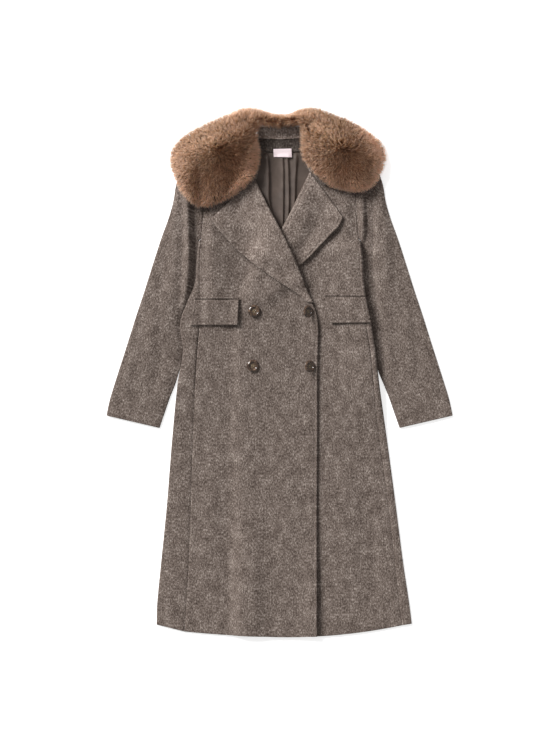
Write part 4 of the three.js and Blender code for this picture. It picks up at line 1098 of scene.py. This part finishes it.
bars = [bar for row in BUTTONS for bar in button(**row)]
thread_faces = []
for k, bar in enumerate(bars):
    rings, spokes = bar.shape[:2]
    thread_faces += ring_faces(rings, spokes, first=k * rings * spokes)
thread_mesh = bpy.data.meshes.new("button_thread")
thread_mesh.from_pydata(np.vstack([bar.reshape(-1, 3) for bar in bars]), [], thread_faces)
thread_mesh.shade_smooth()
thread_mesh.materials.append(twisted("tan_thread", (0.16, 0.115, 0.07), (0.42, 0.33, 0.22)))
button_thread = put("button_thread", thread_mesh)
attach(button_thread, "root")

# A sleeve lies as a flattened tube, with its cap sewn into the armhole and its cuff open.
# From the underarm down its inner edge lies along the side's fold, until it swings clear.
# It is full near the body, where the cloth rolls over into the hollow beside the side panel.
SLEEVE_ROWS = [
    dict(inner=(-0.188, 0.296), outer=(-0.192, 0.485), full=0.7),
    dict(inner=(-0.19, 0.27), outer=(-0.213, 0.468), full=0.9),
    dict(inner=(-0.1925, 0.242), outer=(-0.231, 0.428), full=1),
    dict(inner=(-0.195, 0.214), outer=(-0.239, 0.384), full=1),
    dict(inner=(-0.201, 0.19), outer=(-0.25, 0.346), full=1),
    dict(inner=(-0.209, 0.163), outer=(-0.265, 0.305), full=1),
    dict(inner=(-0.218, 0.134), outer=(-0.284, 0.247), full=1),
    dict(inner=(-0.226, 0.102), outer=(-0.303, 0.187), full=1),
    dict(inner=(-0.23, 0.06), outer=(-0.322, 0.13), full=1),
    dict(inner=(-0.231, 0.015), outer=(-0.34, 0.073), full=0.9),
    dict(inner=(-0.233, -0.02), outer=(-0.356, 0.023), full=0.8),
    dict(inner=(-0.246, -0.055), outer=(-0.371, -0.024), full=0.7),
    dict(inner=(-0.258, -0.09), outer=(-0.382, -0.06), full=0.6),
    dict(inner=(-0.27, -0.125), outer=(-0.39, -0.097), full=0.4),
]
CUFF_FOLDS = [
    dict(path=[(-0.285, 0.16), (-0.288, 0.08), (-0.30, -0.01)], wide=0.014, high=0.0022),
    dict(path=[(-0.262, 0.06), (-0.272, 0.00), (-0.29, -0.06)], wide=0.012, high=-0.0016),
    dict(path=[(-0.335, 0.05), (-0.345, -0.01), (-0.352, -0.07)], wide=0.014, high=0.0016),
]
RIGHT_SLEEVE_FOLDS = [
    dict(path=[(-0.188, 0.50), (-0.188, 0.40), (-0.187, 0.33), (-0.185, 0.24), (-0.2, 0.15)],
         wide=0.010, high=-0.0080),
    dict(path=[(-0.216, 0.52), (-0.209, 0.42), (-0.2055, 0.33), (-0.206, 0.23), (-0.224, 0.08)],
         wide=0.0088, high=0.0115),
    dict(path=[(-0.238, 0.50), (-0.237, 0.40), (-0.238, 0.30), (-0.245, 0.16), (-0.26, 0.02)],
         wide=0.026, high=0.0045),
    dict(path=[(-0.245, 0.33), (-0.257, 0.24), (-0.268, 0.14)], wide=0.014, high=-0.0024),
]
LEFT_SLEEVE_FOLDS = [
    dict(path=[(-0.183, 0.48), (-0.184, 0.40), (-0.186, 0.34), (-0.188, 0.28)], wide=0.009, high=0.0095),
    dict(path=[(-0.20, 0.52), (-0.199, 0.42), (-0.203, 0.33), (-0.200, 0.23), (-0.207, 0.12)],
         wide=0.012, high=-0.0080),
    dict(path=[(-0.203, 0.26), (-0.212, 0.14), (-0.222, 0.06), (-0.236, -0.06)],
         wide=0.012, high=-0.0070),
    dict(path=[(-0.232, 0.44), (-0.236, 0.33), (-0.242, 0.22), (-0.258, 0.10)], wide=0.016, high=0.0030),
]
SLEEVE_LENGTH = 0.42
SLEEVE_WIDTH = 0.15
SLEEVE_STEP = 0.0036
SLEEVE_GRAIN = 20
SWINGS_CLEAR = -0.03
BESIDE_GAP = 0.0001
BESIDE_FADE = 0.04


def sleeve(name, half, side, sleeve_folds):
    """A sleeve, drawn for the wearer's right. The left one is mirrored, with folds of its own."""
    inner = column(SLEEVE_ROWS, "inner")
    outer = column(SLEEVE_ROWS, "outer")
    armhole = column(half, "seam")
    parts, full_rows = stations(SLEEVE_LENGTH, SLEEVE_STEP)
    t = evenly(lambda s: blend(inner(s), outer(s), 0.5), parts[3:])
    t = np.concatenate([[0, 0, 0], t])
    cap = np.array([1, 0.66, 0.33] + [0] * (len(t) - 3))
    low_z = WOOL / 2
    rise = WOOL + GAP + LOFT
    radius = rise / 2
    reach = radius + WOOL / 2
    near = inner(t)
    far = outer(t)
    fold = fold_line(half)(np.linspace(0, 1, 200))
    beside = smoothstep(SWINGS_CLEAR, SWINGS_CLEAR + BESIDE_FADE, near[:, 1])
    close = -side * np.interp(near[:, 1], fold[:, 1], fold[:, 0]) - BESIDE_GAP
    near[:, 0] = blend(near[:, 0], close, beside)
    length = np.linalg.norm(far - near, axis=1)
    inset = reach / length

    def places(u):
        """Places across the sleeve. The first rows pass over to the armhole seam."""
        free = blend(near[:, None], far[:, None], u) * np.array([-side, 1])
        up = UNDERARM_ROW / HALF_ROWS + (1 - UNDERARM_ROW / HALF_ROWS) * u
        sewn = armhole(up) + np.array([side * 0.0001, 0.0002])
        return blend(free, sewn, np.broadcast_to(cap[:, None], u.shape))

    leg = np.linspace(0, 1, round(SLEEVE_WIDTH / SLEEVE_STEP) + 1)
    across = blend(inset[:, None], 1 - inset[:, None], leg[None, :])
    turns = np.linspace(0, np.pi, 9)[1:-1]
    bend = np.sin(turns) * (radius / length)[:, None]
    top_places = places(across)
    drawn = top_places * np.array([-side, 1])
    full = (number(SLEEVE_ROWS, "full", t) * (1 - cap))[:, None]
    swell = 0.0024 * np.minimum(1, 3.2 * np.minimum(leg, 1 - leg)) ** 0.6
    folds = sum(soft_fold(drawn, **fold) for fold in CUFF_FOLDS + sleeve_folds)
    sink = LOFT * (1 - smoothstep(0, 0.10, leg))
    top_z = low_z + rise + full * np.maximum(swell + folds * smoothstep(0, 0.12, 1 - leg) - sink, -LOFT)
    lower = np.dstack([places(across), np.full(across.shape, low_z)])
    upper = np.dstack([top_places, top_z])[:, ::-1]
    outer_z = low_z + (top_z[:, -1:] - low_z) / 2 * (1 - np.cos(turns))
    inner_z = low_z + (top_z[:, :1] - low_z) / 2 * (1 - np.cos(turns))
    outer_turn = np.dstack([places(1 - inset[:, None] + bend), outer_z])
    inner_turn = np.dstack([places(inset[:, None] - bend), inner_z])[:, ::-1]
    middle = np.concatenate([lower, outer_turn, upper, inner_turn], axis=1)
    thickness = WOOL * full_rows[:, None]
    piece, _ = cloth(name, middle, thickness, wool_tweed, ring=True, grain=side * SLEEVE_GRAIN)
    raise_pile(upper + np.array([0, 0, WOOL / 2]))
    return piece


sleeve_right = sleeve("sleeve_right_cloth", RIGHT_HALF, -1, RIGHT_SLEEVE_FOLDS)
sleeve_left = sleeve("sleeve_left_cloth", LEFT_HALF, 1, LEFT_SLEEVE_FOLDS)
sew_on(sleeve_right, "wool", (0.33, 0.52), 0.125, ["table"], "sleeve_right")
sew_on(sleeve_left, "wool", (0.33, 0.52), 0.125, ["table"], "sleeve_left")

# The collar stand and under collar are tweed. The stand rises behind the neck to the fur.
# A loop of satin cord to hang the coat by is sewn along the foot of the stand.
COLLAR_ROWS = [
    dict(inner=(-0.156, 0.374), outer=(-0.188, 0.376), full=0.3, peek=0.002),
    dict(inner=(-0.129, 0.384), outer=(-0.208, 0.388), full=0.75, peek=0.004),
    dict(inner=(-0.101, 0.397), outer=(-0.227, 0.412), full=0.95, peek=0.005),
    dict(inner=(-0.073, 0.416), outer=(-0.24, 0.445), full=1, peek=0.005),
    dict(inner=(-0.054, 0.437), outer=(-0.248, 0.48), full=1, peek=0.003),
    dict(inner=(-0.044, 0.46), outer=(-0.241, 0.506), full=1, peek=-0.004),
    dict(inner=(-0.042, 0.479), outer=(-0.216, 0.53), full=1, peek=-0.006),
    dict(inner=(-0.044, 0.497), outer=(-0.176, 0.552), full=1, peek=-0.006),
    dict(inner=(-0.05, 0.514), outer=(-0.128, 0.575), full=0.95, peek=-0.006),
    dict(inner=(-0.054, 0.531), outer=(-0.088, 0.594), full=0.9, peek=-0.006),
    dict(inner=(-0.046, 0.549), outer=(-0.052, 0.593), full=0.8, peek=-0.004),
    dict(inner=(-0.022, 0.549), outer=(-0.024, 0.583), full=0.65, peek=-0.004),
    dict(inner=(0.002, 0.549), outer=(0.002, 0.579), full=0.6, peek=-0.004),
    dict(inner=(0.026, 0.549), outer=(0.026, 0.581), full=0.65, peek=-0.004),
    dict(inner=(0.048, 0.549), outer=(0.054, 0.594), full=0.8, peek=-0.004),
    dict(inner=(0.052, 0.531), outer=(0.088, 0.594), full=0.9, peek=-0.006),
    dict(inner=(0.049, 0.514), outer=(0.128, 0.578), full=0.95, peek=-0.006),
    dict(inner=(0.048, 0.497), outer=(0.172, 0.558), full=1, peek=-0.006),
    dict(inner=(0.05, 0.482), outer=(0.208, 0.535), full=1, peek=-0.006),
    dict(inner=(0.057, 0.469), outer=(0.233, 0.512), full=1, peek=-0.004),
    dict(inner=(0.069, 0.454), outer=(0.241, 0.488), full=1, peek=0.002),
    dict(inner=(0.086, 0.437), outer=(0.236, 0.462), full=1, peek=0.004),
    dict(inner=(0.108, 0.421), outer=(0.227, 0.439), full=0.95, peek=0.005),
    dict(inner=(0.138, 0.413), outer=(0.212, 0.421), full=0.75, peek=0.005),
    dict(inner=(0.162, 0.409), outer=(0.192, 0.411), full=0.3, peek=0.004),
]
STAND_HALF = 0.050
STAND_FOOT = 0.528
STAND_TOP = 0.554
STAND_RISE = 0.008
STAND_PAINTED_LIGHT = 1.65
LOOP_POINTS = 60
LOOP_SPOKES = 8
LOOP_RADIUS = 0.0009
LOOP_ENDS = (-0.026, 0.030)
LOOP_FOOT = 0.531
LOOP_SAG = 0.0015
COLLAR_RUN = 0.9
COLLAR_WIDTH = 0.15
COLLAR_STEP = 0.006
UNDER_INSET = 0.012

t, full_rows = stations(STAND_TOP - STAND_FOOT, 0.003)
u, full_columns = stations(2 * STAND_HALF, 0.004)
x = blend(-STAND_HALF, STAND_HALF, u)
y = blend(STAND_FOOT, STAND_TOP, t)[:, None] - 0.003 * np.outer(1 - t, 1 - (x / STAND_HALF) ** 2)
places = np.dstack([np.broadcast_to(x, y.shape), y])
ripple = 0.0007 * np.sin(x * 190 + 1.2) * np.sin(x * 71)
lift = STAND_RISE * smoothstep(0, 1, t)[:, None] + np.outer(t, ripple)
full = np.outer(full_rows, full_columns)
# The stand wears a paler copy of the tweed, painted light against the fur's shadow that falls on it.
stand_tweed = tweed("stand_tweed", STAND_PAINTED_LIGHT)
stand, face = cloth("collar_stand_cloth", laid(places, WOOL, lift), WOOL * full, stand_tweed)
along = np.linspace(0, 1, LOOP_POINTS)
loop_x = blend(*LOOP_ENDS, along)
loop_y = LOOP_FOOT - LOOP_SAG * np.sin(np.pi * along)
loop_z = height_at(near_cells(pile, 1, np.max), np.stack([loop_x, loop_y], axis=-1)) + GAP + LOOP_RADIUS
raise_pile(face)
sew_on(stand, "wool", (0.100, 0.028), None, ["neck_facing_cloth"], "collar_stand")

angle = np.linspace(0, 2 * np.pi, LOOP_SPOKES, endpoint=False)
ring_y = loop_y[:, None] + LOOP_RADIUS * np.cos(angle)
ring_z = np.maximum(loop_z, loop_z.max() - 0.0004)[:, None] + LOOP_RADIUS * np.sin(angle)
tube = np.dstack([np.broadcast_to(loop_x[:, None], ring_y.shape), ring_y, ring_z])
loop_mesh = bpy.data.meshes.new("hanging_loop_cord")
loop_mesh.from_pydata(tube.reshape(-1, 3), [], ring_faces(LOOP_POINTS, LOOP_SPOKES))
loop_mesh.shade_smooth()
satin_cord = twisted("satin_cord", (0.07, 0.052, 0.04), (0.24, 0.19, 0.15),
                     slant=35, scale=260, strength=0.6, depth=0.0004, roughness=0.5)
loop_mesh.materials.append(satin_cord)
loop = put("hanging_loop_cord", loop_mesh)
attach(loop, "root")
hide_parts("hanging_loop")

collar_inner = column(COLLAR_ROWS, "inner")
collar_outer = column(COLLAR_ROWS, "outer")
parts, full_rows = stations(COLLAR_RUN, COLLAR_STEP)
t = evenly(collar_outer, parts)
u, full_columns = stations(COLLAR_WIDTH, COLLAR_STEP)
from_inner = collar_inner(t)
from_outer = collar_outer(t)
outward = from_outer - from_inner
outward /= np.linalg.norm(outward, axis=1)[:, None]
start = from_inner - outward * number(COLLAR_ROWS, "peek", t)[:, None]
end = from_outer - outward * UNDER_INSET
full = np.outer(full_rows, full_columns)
middle = laid(between(start, end, u), WOOL, bridge=3)
under_collar, face = cloth("under_collar_cloth", middle, WOOL * full, wool_tweed)
raise_pile(face)
sew_on(under_collar, "wool", (0.76, 0.19), 0.057, ["front_right_cloth", "front_left_cloth"], "under_collar")

# The collar is soft brown fur with long hair, darker in the middle of each side. Its rims are paler, and
# painted light makes them paler still at its lower right, on the side turned from the lamp, and darker at its
# upper left.
# The pelt is a full cushioned form. Its hair grows outward over it, in locks that part here and there.
PELT_HEIGHT = 0.025
PELT_EDGE = 0.003
PELT_INSET = 0.011
PELT_ROWS = 190
PELT_COLUMNS = 46
HAIR_COUNT = 57000
HAIR_LENGTH = 0.017
HAIR_RADIUS = 0.00039
LOCK_COUNT = 12000
LOCK_PULL = 0.45
LOCK_SPREAD = 0.15
HAIR_SPREAD = 0.10
ROOT_DEPTH = 0.0015
TIP_FLOOR = 0.004
FUR_SEED = 11
LOBE_MIDDLES = {"right": (-0.135, 0.50), "left": (0.145, 0.505)}
DARK_MIDDLES = {"right": (-0.137, 0.497), "left": (0.122, 0.540)}
DARK_REACH = 0.06
# The way from the lamp: rim hair that points along it gets painted light, and rim hair that points against it
# painted shade.
PAINTED_LIGHT_WAY = (0.74, -0.67)
LOW_TRIM = 0.36


def fur_material(name, hair):
    """Brown fur. Hair is dark at its root and paler at its tip, and each lock has its own tone, with painted
    light mixed in.
    """
    material, tree = new_material(name)
    place = add_node(tree, "TexCoord").outputs["Object"]
    shade = add_node(tree, "TexNoise", {"Vector": place, "Scale": 22, "Detail": 3}).outputs["Fac"]
    if hair:
        along = add_node(tree, "Attribute", attribute_name="along").outputs["Fac"]
        tone = add_node(tree, "Attribute", attribute_name="tone").outputs["Fac"]
        value = math_node(tree, "MULTIPLY_ADD", along, 0.48, math_node(
            tree, "MULTIPLY_ADD", tone, 0.6, math_node(tree, "MULTIPLY", shade, 0.10)))
    else:
        value = math_node(tree, "MULTIPLY_ADD", shade, 0.3, 0.1)
    colour = ramp(tree, value, [
        (0.12, (0.040, 0.014, 0.006)), (0.38, (0.175, 0.068, 0.031)),
        (0.66, (0.42, 0.190, 0.098)), (1.0, (1.0, 0.56, 0.35))])
    show(tree, {
        "Base Color": colour, "Roughness": 0.55, "Specular IOR Level": 0.2,
        "Subsurface Weight": 0.35 if hair else 0, "Subsurface Radius": (0.004, 0.0022, 0.0014),
        "Subsurface Scale": 1})
    return material


def pelt_form(t, u, height, rim, inset):
    """Points of the fur's top, at rows t along the collar and parts u across it."""
    near = collar_inner(t)
    far = collar_outer(t)
    way = far - near
    way /= np.linalg.norm(way, axis=1)[:, None]
    near = near + way * inset
    far = far - way * inset
    places = between(near, far, u)
    full = number(COLLAR_ROWS, "full", t) * np.minimum(1, 0.5 + 4 * np.minimum(t, 1 - t))
    round_over = (1 - np.abs(2 * u - 1) ** 2.2) ** 0.75
    low = height_at(fur_rest, places) + GAP
    return np.dstack([places, low + rim + (height - rim) * np.outer(full, round_over)]), low


fur_rest = near_cells(near_cells(pile, 3, np.max), 2, np.mean)
t = evenly(collar_outer, np.linspace(0.004, 0.996, PELT_ROWS))
u = (1 - np.cos(np.linspace(0, np.pi, PELT_COLUMNS))) / 2
pelt_top, pelt_low = pelt_form(t, u, PELT_HEIGHT, PELT_EDGE, PELT_INSET)
pelt_under = np.dstack([pelt_top[..., :2], pelt_low])
rows, cols = pelt_top.shape[:2]
index = np.arange(rows * cols).reshape(rows, cols)
faces = [quads(index[:, k], index[:, k + 1]) for k in range(cols - 1)]
faces += [quads(index[:, k + 1], index[:, k]) + rows * cols for k in range(cols - 1)]
for line in (index[0], index[:, -1], index[-1, ::-1], index[::-1, 0]):
    faces.append(quads(line, line + rows * cols))
points = np.vstack([pelt_top.reshape(-1, 3), pelt_under.reshape(-1, 3)])
pelt = mesh_piece("fur_pelt", points, np.vstack(faces), fur_material("fur_ground", False))
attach(pelt, "root")
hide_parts("fur_collar")

strand_points = []
for height, radius, bend in ((0, 1, 0), (0.5, 0.8, 0.05)):
    for k in range(3):
        angle = 2 * np.pi * k / 3
        wide = HAIR_RADIUS / HAIR_LENGTH * radius
        strand_points.append((bend + wide * np.cos(angle), wide * np.sin(angle), height))
strand_points.append((0.22, 0, 0.94))
strand_faces = [(0, 2, 1)]
for k in range(3):
    n = (k + 1) % 3
    strand_faces += [(k, n, n + 3, k + 3), (k + 3, n + 3, 6)]
strand_mesh = bpy.data.meshes.new("strand")
strand_mesh.from_pydata(strand_points, [], strand_faces)
strand_mesh.shade_smooth()
heights = [point[2] for point in strand_points]
strand_mesh.attributes.new("along", "FLOAT", "POINT").data.foreach_set("value", heights)
strand = bpy.data.objects.new("strand", strand_mesh)


def grow_tree(name, material):
    """Geometry nodes that set a strand on each point, along its lean and as long as it says."""
    tree, start = new_nodes(name, Strand="Object", Thickness="Float", Seed="Int")
    shape = add_node(tree, "GeometryNodeObjectInfo", {"Object": start["Strand"]})
    lean = add_node(tree, "GeometryNodeInputNamedAttribute", {"Name": "lean"}, data_type="FLOAT_VECTOR")
    length = add_node(tree, "GeometryNodeInputNamedAttribute", {"Name": "length"}, data_type="FLOAT")
    align = add_node(tree, "FunctionNodeAlignRotationToVector", {
        "Vector": lean.outputs["Attribute"]}, axis="Z")
    # A Random Value node's sockets for a number go by number: input 3 is its most, and output 1 its value
    spin = add_node(tree, "FunctionNodeRandomValue", {
        3: 2 * math.pi, "Seed": start["Seed"]}, data_type="FLOAT")
    turn = add_node(tree, "CombineXYZ", {"Z": spin.outputs[1]})
    rotate = add_node(tree, "FunctionNodeRotateRotation", {
        "Rotation": align.outputs["Rotation"], "Rotate By": turn.outputs["Vector"]}, rotation_space="LOCAL")
    width = math_node(tree, "MULTIPLY", length.outputs["Attribute"], start["Thickness"])
    size = add_node(tree, "CombineXYZ", {"X": width, "Y": width, "Z": length.outputs["Attribute"]})
    grown = add_node(tree, "GeometryNodeInstanceOnPoints", {
        "Points": start["Geometry"], "Instance": shape.outputs["Geometry"],
        "Rotation": rotate.outputs["Rotation"], "Scale": size.outputs["Vector"]})
    end_nodes(tree, grown.outputs["Instances"], material)
    return tree


fur_hair = fur_material("fur_hair", True)
rng = np.random.default_rng(FUR_SEED)
edges_t = np.gradient(pelt_top, axis=0)
edges_u = np.gradient(pelt_top, axis=1)
normals = np.cross(edges_u, edges_t)
normals /= np.linalg.norm(normals, axis=-1, keepdims=True)
normals *= np.sign(normals[..., 2:].mean())
cell_area = np.linalg.norm(np.cross(edges_u, edges_t), axis=-1)[:-1, :-1].ravel()
cells = rng.choice(len(cell_area), HAIR_COUNT, p=cell_area / cell_area.sum())
i, j = np.divmod(cells, cols - 1)
a, b = rng.random((2, HAIR_COUNT, 1))


def on_pelt(grid):
    """Values of a grid at the hair roots."""
    low = grid[i, j] * (1 - b) + grid[i, j + 1] * b
    high = grid[i + 1, j] * (1 - b) + grid[i + 1, j + 1] * b
    return low * (1 - a) + high * a


roots = on_pelt(pelt_top)
up = on_pelt(normals)
beside = smoothstep(-0.06, 0.06, roots[:, :1])
middle_of = np.array(LOBE_MIDDLES["right"]) * (1 - beside) + np.array(LOBE_MIDDLES["left"]) * beside
flow = roots[:, :2] - middle_of
far_out = np.linalg.norm(flow, axis=1, keepdims=True)
flow = flow / np.maximum(far_out, 0.02)
outward = np.hstack([flow * 0.75 + up[:, :2] * 0.5, np.zeros((HAIR_COUNT, 1))])
lean = up * 0.5 + outward
lean /= np.linalg.norm(lean, axis=1, keepdims=True)
length = HAIR_LENGTH * rng.uniform(0.72, 1.12, HAIR_COUNT)
length *= 1 - LOW_TRIM * np.maximum(0, -flow[:, 1])
lock_roots = rng.choice(HAIR_COUNT, LOCK_COUNT, replace=False)
tree_of_locks = KDTree(LOCK_COUNT)
for k, root in enumerate(lock_roots):
    tree_of_locks.insert(roots[root], k)
tree_of_locks.balance()
lock = np.array([tree_of_locks.find(root)[1] for root in roots])
lock_sway = rng.normal(0, LOCK_SPREAD, (LOCK_COUNT, 3))
lock_tone = rng.normal(0, LOCK_SPREAD, LOCK_COUNT)
own_lean = lean + rng.normal(0, HAIR_SPREAD, (HAIR_COUNT, 3)) + lock_sway[lock]
own_lean /= np.linalg.norm(own_lean, axis=1, keepdims=True)
tips = roots + own_lean * length[:, None]
lock_tips = tips[lock_roots][lock]
tips = blend(tips, lock_tips, LOCK_PULL)
tips[:, 2] = np.maximum(tips[:, 2], TIP_FLOOR)
roots = roots - up * ROOT_DEPTH
lean = tips - roots
length = np.linalg.norm(lean, axis=1)
dark_middle = np.where(roots[:, :1] < 0, DARK_MIDDLES["right"], DARK_MIDDLES["left"])
dark = np.exp(-((np.linalg.norm(roots[:, :2] - dark_middle, axis=1) / DARK_REACH) ** 2))
rim = smoothstep(0.4, 1, np.abs(2 * on_pelt(np.broadcast_to(u, (rows, cols))[..., None])[:, 0] - 1))
rim = np.maximum(rim, smoothstep(0.7, 1, np.abs(2 * t[i] - 1)))
# Painted light and shade at the rims: hair turned from the lamp is paler, and hair turned to it darker.
painted_light_side = flow @ PAINTED_LIGHT_WAY
tone = 0.40 + rim * (0.42 + 0.66 * painted_light_side) - 0.26 * dark
tone = np.clip(tone + lock_tone[lock] + rng.normal(0, LOCK_SPREAD, HAIR_COUNT), 0, 1)
grow = grow_tree("grow_fur", fur_hair)
PATCHES = ["fur_right_low", "fur_right_high", "fur_left_high", "fur_left_low"]
order = np.argsort(t[i] + rng.random(HAIR_COUNT) * 1e-6)
for k, share in enumerate(np.array_split(order, len(PATCHES))):
    points = bpy.data.meshes.new(PATCHES[k])
    points.from_pydata(roots[share], [], [])
    points.attributes.new("lean", "FLOAT_VECTOR", "POINT").data.foreach_set("vector", lean[share].ravel())
    points.attributes.new("length", "FLOAT", "POINT").data.foreach_set("value", length[share])
    points.attributes.new("tone", "FLOAT", "POINT").data.foreach_set("value", tone[share])
    hair = put(PATCHES[k], points)
    run_nodes(hair, grow, {"Strand": strand, "Thickness": 1.0, "Seed": k})
    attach(hair, "root")
bpy.data.objects.remove(strand)
